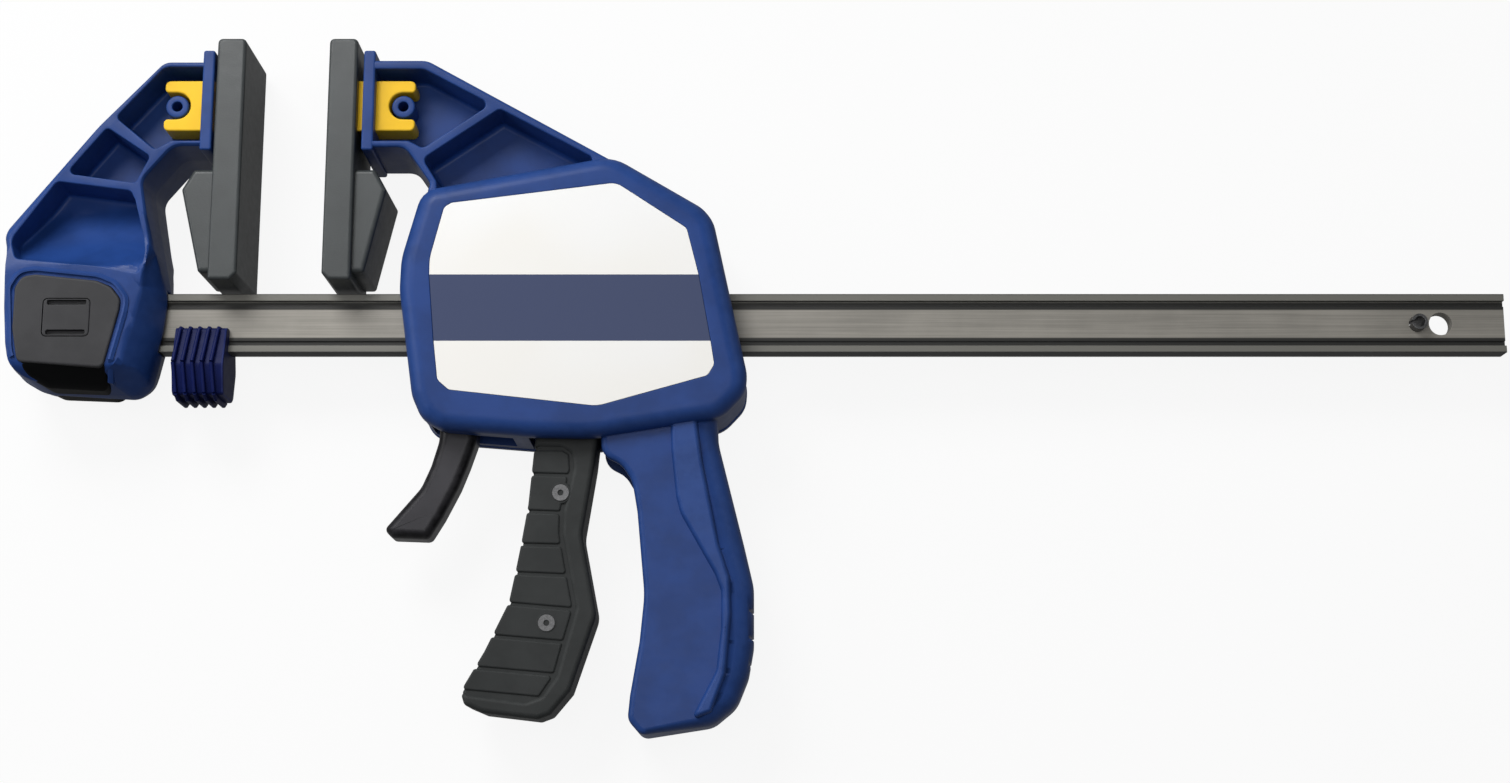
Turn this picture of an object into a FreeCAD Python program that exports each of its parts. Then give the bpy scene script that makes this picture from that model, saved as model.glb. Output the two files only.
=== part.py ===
import FreeCAD, Part
import math
import os

import Sketcher
from FreeCAD import Placement, Rotation, Vector

# Quick release bar clamp, lying flat on its side, in millimetres.
# X runs along the bar towards its free end and is zero at the fixed pad's clamping face.
# Y runs from the bar's axis towards the jaw tips, and Z from the bar's axis up through the thickness.

SIZES = {
    "Fits and overruns": {
        "bar_fit": 0.15,
        "pin_fit": 0.05,
        "piece_gap": 0.1,
        "slide_gap": 0.3,
        "cut_over": 2,
    },
    "Bar": {
        "bar_height": 22.2,
        "bar_thick": 8,
        "bar_tail": 84,
        "bar_reach": 468,
        "flange_height": 2.6,
        "web_recess": 1.2,
        "groove_width": 2,
        "groove_depth": 2,
        "hang_hole_dia": 8.5,
        "hang_hole_inset": 23.7,
        "stop_pin_dia": 6,
        "stop_pin_inset": 32.4,
        "stop_pin_length": 14,
        "stop_pin_wall": 1.1,
        "stop_pin_slit": 1,
    },
    "Jaw arms": {
        "jaw_opening": 31,
        "jaw_half": 18,
        "arm_height": 97.6,
        "fixed_arm_depth": 71.1,
        "moving_arm_depth": 89.4,
        "web_half": 2,
        "rim_wall": 3,
        "rib_wall": 2.6,
        "rib_drop": 0.6,
        "plate_wall": 3.7,
        "plate_lip": 3.8,
        "plate_drop": 35.1,
        "boss_drop": 16.6,
        "boss_setback": 10.8,
        "boss_dia": 8.6,
        "boss_bore": 3.5,
        "boss_half": 13,
    },
    "Pads": {
        "pad_wall": 10.7,
        "pad_half": 19,
        "pad_over": 4.4,
        "pad_lift": 1.9,
        "pad_edge": 1,
        "pad_toe": 2.6,
        "gusset_half": 16,
        "gusset_depth": 11.7,
        "gusset_gap": 6.7,
        "gusset_shoulder": 7.7,
        "gusset_lift": 3.5,
        "gusset_foot": 4.3,
        "fixed_pad_gap": 0.9,
        "moving_pad_gap": 2.2,
    },
    "Pad carriers": {
        "carrier_height": 19.5,
        "carrier_half": 14,
        "carrier_embed": 3,
        "carrier_bore": 10.4,
        "carrier_tail": 4.6,
        "carrier_edge": 1.6,
        "window_gap": 1.2,
    },
    "Hub": {
        "hub_right": 26.2,
        "hub_width": 60.2,
        "hub_drop": 30,
        "hub_half": 21,
        "hub_waist": 13,
        "boot_half": 22,
        "boot_skin": 2.8,
        "boot_lip": 18.5,
        "boot_foot": 29,
        "boot_toe": 10,
    },
    "Release button": {
        "button_setback": 60.4,
        "button_drop": 2,
        "button_width": 17,
        "button_height": 14,
        "button_thick": 5,
        "button_travel": 6.2,
        "button_fit": 0.25,
        "button_groove": 1.2,
        "button_well": 1.2,
        "lock_pin_dia": 5,
        "lock_neck_dia": 2.8,
        "lock_pin_reach": 9,
        "lock_slot_width": 3.4,
        "button_wire": 0.7,
        "button_coil_dia": 6.8,
        "button_coil_turns": 5,
    },
    "Housing": {
        "cover_left": 59.6,
        "cover_width": 127.4,
        "cover_drop": 45.5,
        "core_half": 13,
        "cover_half": 22,
        "cover_bevel": 4.5,
        "cover_wall": 3,
        "label_left": 71,
        "label_width": 104.2,
        "label_drop": 34.9,
        "label_sink": 0.6,
        "screw_dia": 3,
        "screw_head_dia": 6,
        "screw_head_height": 2.2,
        "screw_recess_wall": 1,
        "screw_socket": 2.4,
    },
    "Handle": {
        "handle_left": 133,
        "handle_width": 56.5,
        "handle_drop": 152,
        "handle_half": 15,
        "handle_edge": 2.5,
        "strip_proud": 2.2,
        "palm_rib_pitch": 9.5,
        "palm_rib_depth": 2,
    },
    "Trigger": {
        "trigger_pivot_x": 120,
        "trigger_pivot_y": 28,
        "trigger_pin_dia": 6,
        "trigger_width": 25,
        "trigger_length": 174.3,
        "trigger_half": 11,
        "trigger_edge": 1.8,
        "trigger_groove_depth": 0.5,
        "trigger_groove_width": 0.9,
        "cheek_gap": 0.8,
        "cheek_wall": 2.5,
        "cheek_front": 8,
        "cheek_head": 6.5,
        "nose_reach": 11,
        "nose_half": 4.5,
        "cheek_back": 7.5,
        "fork_drop": 37,
        "fork_roof": 42,
        "blade_half": 2.5,
        "blade_width": 9,
        "rivet_dia": 4,
        "rivet_head_dia": 6,
        "rivet_bore": 2.2,
        "rivet_proud": 0.3,
    },
    "Drive": {
        "drive_plate_wall": 3,
        "drive_plate_step": 3.2,
        "drive_plate_half": 9.5,
        "drive_plate_rise": 16.5,
        "drive_slack": 0.3,
        "drive_wire": 1.6,
        "drive_coil_gap": 2.2,
        "drive_coil_turns": 6,
    },
    "Release lever": {
        "lever_pivot_x": 88,
        "lever_pivot_y": 29,
        "lever_pin_dia": 5,
        "lever_width": 30,
        "lever_length": 110,
        "lever_half": 8,
        "lever_edge": 1.6,
        "brake_tilt": 7,
        "brake_wall": 3.5,
        "brake_half": 9.5,
        "brake_head": 5,
        "brake_slack": 0.6,
        "brake_foot": 46,
        "brake_tail": 62,
        "brake_tail_half": 4.5,
        "brake_wall_gap": 5.9,
        "brake_wall_drop": 1.2,
        "brake_spring_drop": 50,
        "brake_wire": 0.9,
        "brake_coil_dia": 7,
        "brake_coil_turns": 5,
    },
    "Bar clip": {
        "clip_left": 24,
        "clip_pitch": 4.2,
        "clip_rib_wall": 2.2,
        "clip_rib_height": 1.8,
        "clip_top": 2.5,
        "clip_lip_wall": 3,
        "clip_shoulder": 17,
        "clip_shoulder_half": 11.4,
        "clip_foot": 28,
        "clip_foot_half": 8.5,
    },
}

# Outlines drawn by hand as shares of the sizes named where they are used.
FIXED_ARM_SHARES = [
    (0, 1), (0.221, 1), (0.551, 0.741), (1, 0.323), (0.989, 0.143),
    (0.211, 0.143), (0.262, 0.395), (0.293, 0.5225), (0.142, 0.655), (0, 0.655),
]
FIXED_RIB_SHARES = [
    ((0.522, 0.778), (0.21, 0.6045)),
    ((0.769, 0.536), (0.291, 0.491)),
]
MOVING_ARM_SHARES = [
    (0, 1), (0.225, 1), (1, 0.6), (0.955, 0.535),
    (0.246, 0.451), (0.249, 0.51), (0.141, 0.655), (0, 0.655),
]
MOVING_RIB_SHARES = [
    ((0.536, 0.828), (0.161, 0.592)),
]
HUB_SHARES = [
    (1, 0.977), (0.987, 0.467), (0.927, 0.1), (0.865, -0.633), (0.777, -0.88), (0.661, -0.96),
    (0.163, -0.96), (0.063, -0.833), (0, -0.133), (0.02, 0.3), (0.073, 0.8),
]
HUB_FACE_SHARES = [
    (0.953, 0.783), (0.947, 0.4), (0.902, 0.067), (0.844, -0.5), (0.794, -0.633), (0.694, -0.683),
    (0.329, -0.7), (0.262, -0.567), (0.176, 0.067), (0.204, 0.333), (0.312, 0.583),
]
BOOT_SHARES = [
    (0.917, 0.333), (0.86, 0.497), (0.771, 0.52), (0.392, 0.433), (0.301, 0.36), (0.223, 0.183),
    (0.231, 0.023), (0.299, -0.573), (0.337, -1.2), (0.827, -1.2), (0.879, -0.473),
]
COVER_SHARES = [
    (0.057, -1.037), (0.608, -1.327), (0.871, -0.89), (0.903, -0.78), (1, 0.484), (0.995, 0.637),
    (0.929, 0.835), (0.56, 1), (0.372, 0.989), (0.129, 0.934), (0.074, 0.846), (0.044, 0.659),
    (0, -0.2), (0.002, -0.466),
]
WINDOW_SHARES = [
    (0.082, -0.396), (0.144, -0.923), (0.553, -1.055), (0.788, -0.659), (0.876, -0.37),
    (0.876, 0.37), (0.772, 0.725), (0.317, 0.813), (0.176, 0.791), (0.082, 0.352),
]
DRIVE_WALL_SHARE = 0.876
LABEL_SHARES = [
    (0.046, -1.132), (0.072, -1.181), (0.652, -1.401), (0.901, -0.905), (0.943, -0.413),
    (0.988, 0.318), (1, 0.559), (0.977, 0.676), (0.594, 1), (0.079, 0.828), (0.038, 0.722),
    (0.022, 0.318), (0, -0.401), (0, -0.579),
]
SCREW_SHARES = [(0.093, -0.934), (0.83, -0.79), (0.925, 0.62), (0.085, 0.68)]
TRIGGER_SHARES = [
    (-0.384, 0.379), (-0.492, 0.557), (-0.596, 0.648), (-0.736, 0.757), (-1.08, 0.861),
    (-1.416, 0.944), (-1.36, 0.97), (-1.08, 0.987), (-0.3, 1), (-0.12, 0.99), (0.16, 0.942),
    (0.52, 0.786), (0.296, 0.62), (0.46, 0.471), (0.528, 0.379),
]
BLADE_SHARES = [(-0.1, 0.334), (-0.18, 0.608), (-0.28, 0.785), (-0.62, 0.912)]
RIVET_SHARES = [(-0.024, 0.532), (-0.196, 0.803)]
GROOVE_SHARES = [
    ((-0.46, 0.492), (0.065, 0.494)),
    ((-0.54, 0.57), (-0.027, 0.573)),
    ((-0.6, 0.64), (-0.019, 0.642)),
    ((-0.66, 0.7), (0.088, 0.703)),
    ((-0.82, 0.762), (0.182, 0.774)),
    ((-1.02, 0.829), (0.061, 0.842)),
    ((-1.2, 0.894), (-0.088, 0.909)),
]
LEVER_SHARES = [
    (-0.333, 0.427), (0, 0.427), (0.033, 0.536), (-0.007, 0.673), (-0.107, 0.755),
    (-0.21, 0.827), (-0.393, 0.927), (-0.553, 1), (-1, 0.995), (-1.1, 0.967), (-0.85, 0.886),
    (-0.667, 0.827), (-0.553, 0.755), (-0.467, 0.673), (-0.433, 0.536),
]
HANDLE_SHARES = [
    (0.018, 0.2375), (0.018, 0.3355), (0.156, 0.362), (0.221, 0.401), (0.255, 0.474), (0.304, 0.672),
    (0.276, 0.783), (0.219, 0.908), (0.205, 0.964), (0.29, 1), (0.743, 0.976), (0.892, 0.931),
    (0.966, 0.862), (1, 0.789), (1, 0.651), (0.938, 0.5525), (0.77, 0.3025), (0.761, 0.2235),
]
STRIP_SHARES = [
    (0.46, 0.2375), (0.469, 0.328), (0.503, 0.441), (0.531, 0.48), (0.752, 0.625), (0.791, 0.665),
    (0.791, 0.75), (0.761, 0.85), (0.6, 0.97), (0.77, 0.952), (0.85, 0.86), (0.867, 0.72),
    (0.867, 0.579), (0.752, 0.5), (0.664, 0.355), (0.619, 0.2375),
]
CHANNEL_SHARES = [
    (-0.053, 0.197), (0.301, 0.197), (0.407, 0.395), (0.451, 0.671),
    (0.416, 0.803), (0.372, 0.901), (0.124, 0.901), (-0.053, 0.79),
]
PALM_RIB_SHARE = 0.702
PALM_NOTCHES = 3
CLIP_RIBS = 5
LEVER_SLOT_SHARES = (0.55, 0.45)
TRIGGER_SLOT_SHARES = (0.5, 1.05)
SLOT_TOP_SHARES = (0.36, 0.7)

doc = FreeCAD.newDocument("bar_clamp")


class Size:
    """A length as a formula over the sheet: its text binds a property, its value places a first guess."""

    def __init__(self, text, value):
        self.text = text
        self.value = value

    def _join(self, sign, left, right, value):
        return Size("(%s %s %s)" % (left, sign, right), value)

    def __add__(self, other):
        return self._join("+", self.text, text_of(other), self.value + value_of(other))

    def __radd__(self, other):
        return self._join("+", text_of(other), self.text, value_of(other) + self.value)

    def __sub__(self, other):
        return self._join("-", self.text, text_of(other), self.value - value_of(other))

    def __rsub__(self, other):
        return self._join("-", text_of(other), self.text, value_of(other) - self.value)

    def __mul__(self, other):
        return self._join("*", self.text, text_of(other), self.value * value_of(other))

    __rmul__ = __mul__

    def __truediv__(self, other):
        return self._join("/", self.text, text_of(other), self.value / value_of(other))

    def __neg__(self):
        return Size("(0 - %s)" % self.text, -self.value)


def text_of(length):
    """The formula of a Size, or a plain number's digits."""
    return length.text if isinstance(length, Size) else repr(length)


def value_of(length):
    """The value of a Size, or the plain number itself."""
    return length.value if isinstance(length, Size) else length


class Sheet:
    """The document's table of driving sizes, read by name as Size objects."""

    def __init__(self, groups):
        self.table = doc.addObject("Spreadsheet::Sheet", "Sizes")
        self.values = {}
        row = 1
        for title, sizes in groups.items():
            self.table.set("A%d" % row, title)
            row += 1
            for alias, number in sizes.items():
                self.table.set("A%d" % row, alias)
                self.table.set("B%d" % row, str(number))
                self.table.setAlias("B%d" % row, alias)
                self.values[alias] = float(number)
                row += 1
        doc.recompute()

    def __getattr__(self, alias):
        return Size("Sizes.%s" % alias, self.values[alias])


S = Sheet(SIZES)


def bind(target, path, length):
    """Bind one property of an object to a formula over the sheet."""
    if isinstance(length, Size):
        target.setExpression(path, length.text)


def spread(shares, left, low, width, height):
    """Corners at shares of a width and a height, counted from a left and a low line."""
    return [(left + x * width, low + y * height) for x, y in shares]


def box_loop(left, low, right, high):
    """The four corners of a rectangle."""
    return [(left, low), (right, low), (right, high), (left, high)]


def draw_loop(sketch, corners):
    """Draw one closed loop of straight edges, with each corner tied to the sheet."""
    first = sketch.GeometryCount
    count = len(corners)
    spots = [Vector(value_of(x), value_of(y), 0) for x, y in corners]
    edges = [Part.LineSegment(spots[i], spots[(i + 1) % count]) for i in range(count)]
    sketch.addGeometry(edges, False)
    ties = []
    for i in range(count):
        ties.append(Sketcher.Constraint("Coincident", first + i, 2, first + (i + 1) % count, 1))
    start = sketch.ConstraintCount
    for i, spot in enumerate(spots):
        ties.append(Sketcher.Constraint("DistanceX", -1, 1, first + i, 1, spot.x))
        ties.append(Sketcher.Constraint("DistanceY", -1, 1, first + i, 1, spot.y))
    sketch.addConstraint(ties)
    for i, corner in enumerate(corners):
        for axis in range(2):
            bind(sketch, "Constraints[%d]" % (start + count + 2 * i + axis), corner[axis])


def draw_circle(sketch, centre, diameter):
    """Draw one circle with its centre and diameter tied to the sheet."""
    spot = Vector(value_of(centre[0]), value_of(centre[1]), 0)
    circle = sketch.addGeometry(Part.Circle(spot, Vector(0, 0, 1), value_of(diameter) / 2), False)
    across = sketch.addConstraint(Sketcher.Constraint("Diameter", circle, value_of(diameter)))
    bind(sketch, "Constraints[%d]" % across, diameter)
    for axis, kind in enumerate(("DistanceX", "DistanceY")):
        tie = sketch.addConstraint(Sketcher.Constraint(kind, -1, 1, circle, 3, spot[axis]))
        bind(sketch, "Constraints[%d]" % tie, centre[axis])


def draw(sketch, loops):
    """Draw loops of corners, and circles given as (centre, diameter)."""
    for loop in loops:
        if len(loop) == 2:
            draw_circle(sketch, *loop)
        else:
            draw_loop(sketch, loop)


def new_body(name):
    """A body whose label names its file."""
    body = doc.addObject("PartDesign::Body", name)
    body.Label = name
    return body


def plane_of(body, role):
    """The origin plane of a body that has the given role."""
    return next(f for f in body.Origin.OriginFeatures if f.Role == role)


def sketch_in(body, loops, level, role):
    """A sketch of loops on a plane of the body, moved along the plane's normal to a level."""
    sketch = body.newObject("Sketcher::SketchObject", body.Label + "_sketch")
    sketch.AttachmentSupport = [(plane_of(body, role), "")]
    sketch.MapMode = "FlatFace"
    sketch.AttachmentOffset = Placement(Vector(0, 0, value_of(level)), Rotation())
    bind(sketch, "AttachmentOffset.Base.z", level)
    draw(sketch, loops)
    return sketch


def slab(body, loops, low, high, role="XY_Plane"):
    """Add a pad of loops between two levels."""
    pad = body.newObject("PartDesign::Pad", body.Label + "_pad")
    pad.Profile = sketch_in(body, loops, low, role)
    pad.Length = value_of(high) - value_of(low)
    bind(pad, "Length", high - low)
    doc.recompute()
    return pad


def cut(body, loops, low, high, role="XY_Plane"):
    """Cut loops away between two levels, and see that something went."""
    before = body.Shape.Volume
    pocket = body.newObject("PartDesign::Pocket", body.Label + "_pocket")
    pocket.Profile = sketch_in(body, loops, high, role)
    pocket.Length = value_of(high) - value_of(low)
    bind(pocket, "Length", high - low)
    doc.recompute()
    if body.Shape.Volume >= before:
        raise ValueError("a pocket of %s cuts nothing" % body.Label)
    return pocket


def dress(body, kind, length, chosen):
    """Fillet or chamfer the edges of a body that the chooser picks."""
    tip = body.Tip
    names = ["Edge%d" % (i + 1) for i, edge in enumerate(tip.Shape.Edges) if chosen(edge)]
    feature = body.newObject("PartDesign::" + kind, body.Label + "_" + kind.lower())
    feature.Base = (tip, names)
    path = "Radius" if kind == "Fillet" else "Size"
    setattr(feature, path, value_of(length))
    bind(feature, path, length)
    doc.recompute()
    return feature


def flat_at(edge, level, axis="z"):
    """Whether a whole edge lies at one level along an axis."""
    box = edge.BoundBox
    low, high = getattr(box, axis.upper() + "Min"), getattr(box, axis.upper() + "Max")
    touch = S.piece_gap.value / 10
    return abs(low - level) < touch and abs(high - level) < touch


def outline(name, loops, level=0):
    """A free sketch of loops in the XY plane at a level, for the boolean pieces."""
    sketch = doc.addObject("Sketcher::SketchObject", name)
    sketch.Placement = Placement(Vector(0, 0, value_of(level)), Rotation())
    bind(sketch, "Placement.Base.z", level)
    draw(sketch, loops)
    doc.recompute()
    return sketch


def side_outline(name, loops, level):
    """A free sketch of loops in the YZ plane at a place along X."""
    sketch = doc.addObject("Sketcher::SketchObject", name)
    turn = Rotation(Vector(0, 1, 0), Vector(0, 0, 1), Vector(1, 0, 0), "XYZ")
    sketch.Placement = Placement(Vector(value_of(level), 0, 0), turn)
    bind(sketch, "Placement.Base.x", level)
    draw(sketch, loops)
    doc.recompute()
    return sketch


def prism(name, sketch, forward, back=0, along=Vector(0, 0, 1)):
    """Extrude a sketch by a length forward and a length back."""
    solid = doc.addObject("Part::Extrusion", name)
    solid.Base = sketch
    solid.DirMode = "Custom"
    solid.Dir = along
    solid.LengthFwd = value_of(forward)
    solid.LengthRev = value_of(back)
    bind(solid, "LengthFwd", forward)
    bind(solid, "LengthRev", back)
    solid.Solid = True
    doc.recompute()
    return solid


def inset(name, sketch, wall):
    """The outline a wall's width inside a sketch."""
    inner = doc.addObject("Part::Offset2D", name)
    inner.Source = sketch
    inner.Value = -value_of(wall)
    bind(inner, "Value", -wall)
    inner.Join = "Intersection"
    doc.recompute()
    return inner


def loft(name, sketches):
    """A solid with straight sides between two outlines."""
    solid = doc.addObject("Part::Loft", name)
    solid.Sections = sketches
    solid.Solid = True
    solid.Ruled = True
    doc.recompute()
    return solid


def bevelled(name, loops, half, edge):
    """A slab about the XY plane with both of its faces bevelled."""
    middle = prism(name + "_middle", outline(name + "_base", loops, edge - half), 2 * (half - edge))
    sides = [middle]
    for side, label in ((1, "_near"), (-1, "_far")):
        base = outline(name + label + "_base", loops, side * (half - edge))
        face = inset(name + label + "_face", outline(name + label + "_outline", loops, side * half), edge)
        sides.append(loft(name + label, [base, face] if side > 0 else [face, base]))
    return joined(name + "_bevelled", sides)


def joined(name, pieces):
    """One solid out of several."""
    whole = doc.addObject("Part::MultiFuse", name)
    whole.Shapes = pieces
    whole.Refine = True
    doc.recompute()
    return whole


def shared(name, pieces):
    """What several solids have in common."""
    core = doc.addObject("Part::MultiCommon", name)
    core.Shapes = pieces
    doc.recompute()
    return core


def without(name, base, tool):
    """A solid less another, with a check that something went."""
    rest = doc.addObject("Part::Cut", name)
    rest.Base = base
    rest.Tool = tool
    rest.Refine = True
    doc.recompute()
    if rest.Shape.Volume >= base.Shape.Volume:
        raise ValueError("%s cuts nothing" % name)
    return rest


def rod(name, diameter, low, high, x=0, y=0):
    """A round bar along Z between two levels."""
    cylinder = doc.addObject("Part::Cylinder", name)
    for path, length in (
        ("Radius", diameter / 2),
        ("Height", high - low),
        ("Placement.Base.x", x),
        ("Placement.Base.y", y),
        ("Placement.Base.z", low),
    ):
        bind(cylinder, path, length)
    doc.recompute()
    return cylinder


def arc_pair(start, start_way, end, end_way):
    """Two arcs that leave a point one way and reach another point another way, with no kink between."""
    chord = end - start
    ways = start_way + end_way
    slope = 2 * (1 - start_way.dot(end_way))
    lean = chord.dot(ways)
    reach = (-lean + math.sqrt(lean * lean + slope * chord.dot(chord))) / slope
    knee = (start + end + (start_way - end_way) * reach) / 2
    arcs = []
    for here, way, there in ((start, start_way, knee), (end, end_way * -1, knee)):
        span = there - here
        side = span - way * span.dot(way)
        radius = span.dot(span) / (2 * side.Length)
        centre = here + side.normalize() * radius
        middle = (here + there) / 2 - centre
        arcs.append((here, centre + middle.normalize() * radius, there))
    first = Part.Arc(*arcs[0]).toShape()
    second = Part.Arc(*reversed(arcs[1])).toShape()
    return [first, second]


def coil(name, coil_dia, wire_dia, length, turns, place):
    """A spring of round wire, wound about its own Z axis from zero to a length."""
    steps_per_turn = 4
    radius = coil_dia / 2
    pitch = (length - wire_dia) / turns
    way_length = math.hypot(2 * math.pi * radius, pitch)

    def spot(step):
        turn = 2 * math.pi * step / steps_per_turn
        rise = wire_dia / 2 + pitch * step / steps_per_turn
        return Vector(radius * math.cos(turn), radius * math.sin(turn), rise)

    def way(step):
        turn = 2 * math.pi * step / steps_per_turn
        around = 2 * math.pi * radius
        return Vector(-around * math.sin(turn), around * math.cos(turn), pitch) / way_length

    edges = []
    for step in range(int(turns * steps_per_turn)):
        edges += arc_pair(spot(step), way(step), spot(step + 1), way(step + 1))
    path = Part.Wire(edges)
    ring = Part.Wire(Part.Circle(spot(0), way(0), wire_dia / 2).toShape())
    spring = doc.addObject("Part::Feature", name)
    spring.Label = name
    spring.Shape = path.makePipeShell([ring], True, False)
    spring.Placement = place
    print("%s: least gap between turns %.2f mm" % (name, pitch - wire_dia))
    return spring


def bar_profile():
    """The bar's section, flanges joined by a thinner web with a groove beside each flange, as (Y, Z)."""
    steps = [
        (S.bar_height / 2, S.bar_thick / 2),
        (S.bar_height / 2 - S.flange_height, S.bar_thick / 2),
        (S.bar_height / 2 - S.flange_height, S.bar_thick / 2 - S.groove_depth),
        (S.bar_height / 2 - S.flange_height - S.groove_width, S.bar_thick / 2 - S.groove_depth),
        (S.bar_height / 2 - S.flange_height - S.groove_width, S.bar_thick / 2 - S.web_recess),
    ]
    lower = [(-y, z) for y, z in reversed(steps)]
    near = steps + lower
    return near + [(y, -z) for y, z in reversed(near)]


def make_bar():
    """The steel bar, with its hanging hole, the stop pin's hole and the slot that the lock pin holds."""
    bar = new_body("bar")
    slab(bar, [bar_profile()], -S.bar_tail, S.bar_reach, "YZ_Plane")
    half_cut = S.bar_thick / 2 + S.cut_over
    hang_hole = ((S.bar_reach - S.hang_hole_inset, 0), S.hang_hole_dia)
    stop_hole = ((S.bar_reach - S.stop_pin_inset, 0), S.stop_pin_dia)
    lock_hole = ((-S.button_setback, 0), S.lock_pin_dia + 2 * S.bar_fit)
    cut(bar, [hang_hole, stop_hole, lock_hole], -half_cut, half_cut)
    half_slot = S.lock_slot_width / 2
    slot = box_loop(-S.bar_tail - S.cut_over, -half_slot, -S.button_setback, half_slot)
    cut(bar, [slot], -half_cut, half_cut)
    return bar


def make_stop_pin():
    """The slit spring pin that keeps the moving jaw on the bar."""
    pin = new_body("stop_pin")
    place = (S.bar_reach - S.stop_pin_inset, 0)
    half = S.stop_pin_length / 2
    slab(pin, [(place, S.stop_pin_dia)], -half, half)
    cut(pin, [(place, S.stop_pin_dia - 2 * S.stop_pin_wall)], -half, half)
    slit = box_loop(
        place[0] - S.stop_pin_dia, -S.stop_pin_slit / 2, place[0], S.stop_pin_slit / 2
    )
    cut(pin, [slit], -half, half)
    return pin


def bar_passage(name, left, right):
    """The space that a piece leaves round the bar."""
    half_height = S.bar_height / 2 + S.bar_fit
    half_thick = S.bar_thick / 2 + S.bar_fit
    loop = box_loop(-half_height, -half_thick, half_height, half_thick)
    section = side_outline(name + "_section", [loop], left)
    return prism(name, section, right - left, along=Vector(1, 0, 0))


def jaw_plate_y():
    """The low and high ends of a jaw's tip plate."""
    return S.arm_height - S.plate_drop, S.arm_height + S.plate_lip


def boss_y():
    """The height of a pad's swivel boss."""
    return S.arm_height - S.boss_drop


def fixed_plate_x():
    """The front and back of the fixed jaw's tip plate."""
    front = -S.pad_wall - S.fixed_pad_gap
    return front, front - S.plate_wall


def moving_plate_x():
    """The front and back of the moving jaw's tip plate."""
    front = S.jaw_opening + S.pad_wall + S.moving_pad_gap
    return front, front + S.plate_wall


def rib_loop(ends, left, width):
    """A straight rib's outline, one rib wall thick, between two points given as shares."""
    (x_a, y_a), (x_b, y_b) = spread(ends, left, 0, width, S.arm_height)
    run = math.hypot(x_b.value - x_a.value, y_b.value - y_a.value)
    across_share = ((y_b.value - y_a.value) / run, (x_b.value - x_a.value) / run)
    side_x = S.rib_wall / 2 * round(across_share[0], 3)
    side_y = S.rib_wall / 2 * round(across_share[1], 3)
    return [
        (x_a - side_x, y_a + side_y),
        (x_b - side_x, y_b + side_y),
        (x_b + side_x, y_b - side_y),
        (x_a + side_x, y_a - side_y),
    ]


def arm_pieces(name, shares, ribs, left, width, front):
    """A jaw arm: a rim and ribs on both sides of a thin web, its tip plate, and the pad's swivel boss."""
    sketch = outline(name + "_outline", [spread(shares, left, 0, width, S.arm_height)])
    inner = inset(name + "_inner", sketch, S.rim_wall)
    full = prism(name + "_full", sketch, S.jaw_half, S.jaw_half)
    tall = S.jaw_half + S.cut_over
    hollow = prism(name + "_hollow", inner, tall, tall)
    way = 1 if width.value > 0 else -1
    low = shares[-1][1] * S.arm_height + S.rim_wall
    behind = box_loop(left, low, left + way * (S.rim_wall + S.cut_over), S.arm_height - S.rim_wall)
    open_end = prism(name + "_open_end", outline(name + "_open_end_outline", [behind]), tall, tall)
    rim = without(name + "_rim", full, joined(name + "_pockets", [hollow, open_end]))
    web = prism(name + "_web", sketch, S.web_half, S.web_half)
    rib_half = S.jaw_half - S.rib_drop
    rib_sketch = outline(name + "_rib_outline", [rib_loop(ends, left, width) for ends in ribs])
    rib_prism = prism(name + "_rib_prism", rib_sketch, rib_half, rib_half)
    rib_part = shared(name + "_ribs", [rib_prism, full])
    low, high = jaw_plate_y()
    plate_sketch = outline(name + "_plate_outline", [box_loop(front, low, left, high)])
    plate = prism(name + "_plate", plate_sketch, S.jaw_half, S.jaw_half)
    boss = rod(name + "_boss", S.boss_dia, -S.boss_half, S.boss_half, boss_x(left, front), boss_y())
    return [rim, web, rib_part, plate, boss]


def boss_x(back, front):
    """The place of a swivel boss, set back from its tip plate."""
    return back + S.boss_setback if back.value > front.value else back - S.boss_setback


def arm_cuts(name, front, back):
    """What is cut from an arm: the carrier's windows in the tip plate, and the boss's bores."""
    half_height = S.carrier_height / 2 + S.window_gap
    over = S.plate_wall / 2
    span = (front + over, back - over) if back.value < front.value else (front - over, back + over)
    low, high = boss_y() - half_height, boss_y() + half_height
    window = outline(name + "_window_outline", [box_loop(span[0], low, span[1], high)])
    window_half = S.carrier_half + S.slide_gap
    window_prism = prism(name + "_window", window, window_half, window_half)
    web_loop = box_loop(span[0], low - S.cut_over, span[1], high + S.cut_over)
    web = outline(name + "_web_outline", [web_loop])
    web_prism = prism(name + "_window_web", web, S.web_half, S.web_half)
    windows = without(name + "_windows", window_prism, web_prism)
    centre = boss_x(back, front)
    near = rod(name + "_bore_near", S.boss_bore, S.web_half, S.boss_half + S.cut_over, centre, boss_y())
    far = rod(name + "_bore_far", S.boss_bore, -S.boss_half - S.cut_over, -S.web_half, centre, boss_y())
    return [windows, near, far]


def hub_spread(shares):
    """Hub corners from shares of the hub's width and drop."""
    return spread(shares, -S.hub_right, 0, -S.hub_width, S.hub_drop)


def hub_solid():
    """The hub block round the bar, bevelled from its waist to its two faces."""
    waist_near = outline("hub_waist_near", [hub_spread(HUB_SHARES)], S.hub_waist)
    waist_far = outline("hub_waist_far", [hub_spread(HUB_SHARES)], -S.hub_waist)
    face_near = outline("hub_face_near", [hub_spread(HUB_FACE_SHARES)], S.hub_half)
    face_far = outline("hub_face_far", [hub_spread(HUB_FACE_SHARES)], -S.hub_half)
    middle = prism("hub_middle", waist_far, 2 * S.hub_waist)
    return [middle, loft("hub_near", [waist_near, face_near]), loft("hub_far", [face_far, waist_far])]


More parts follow.
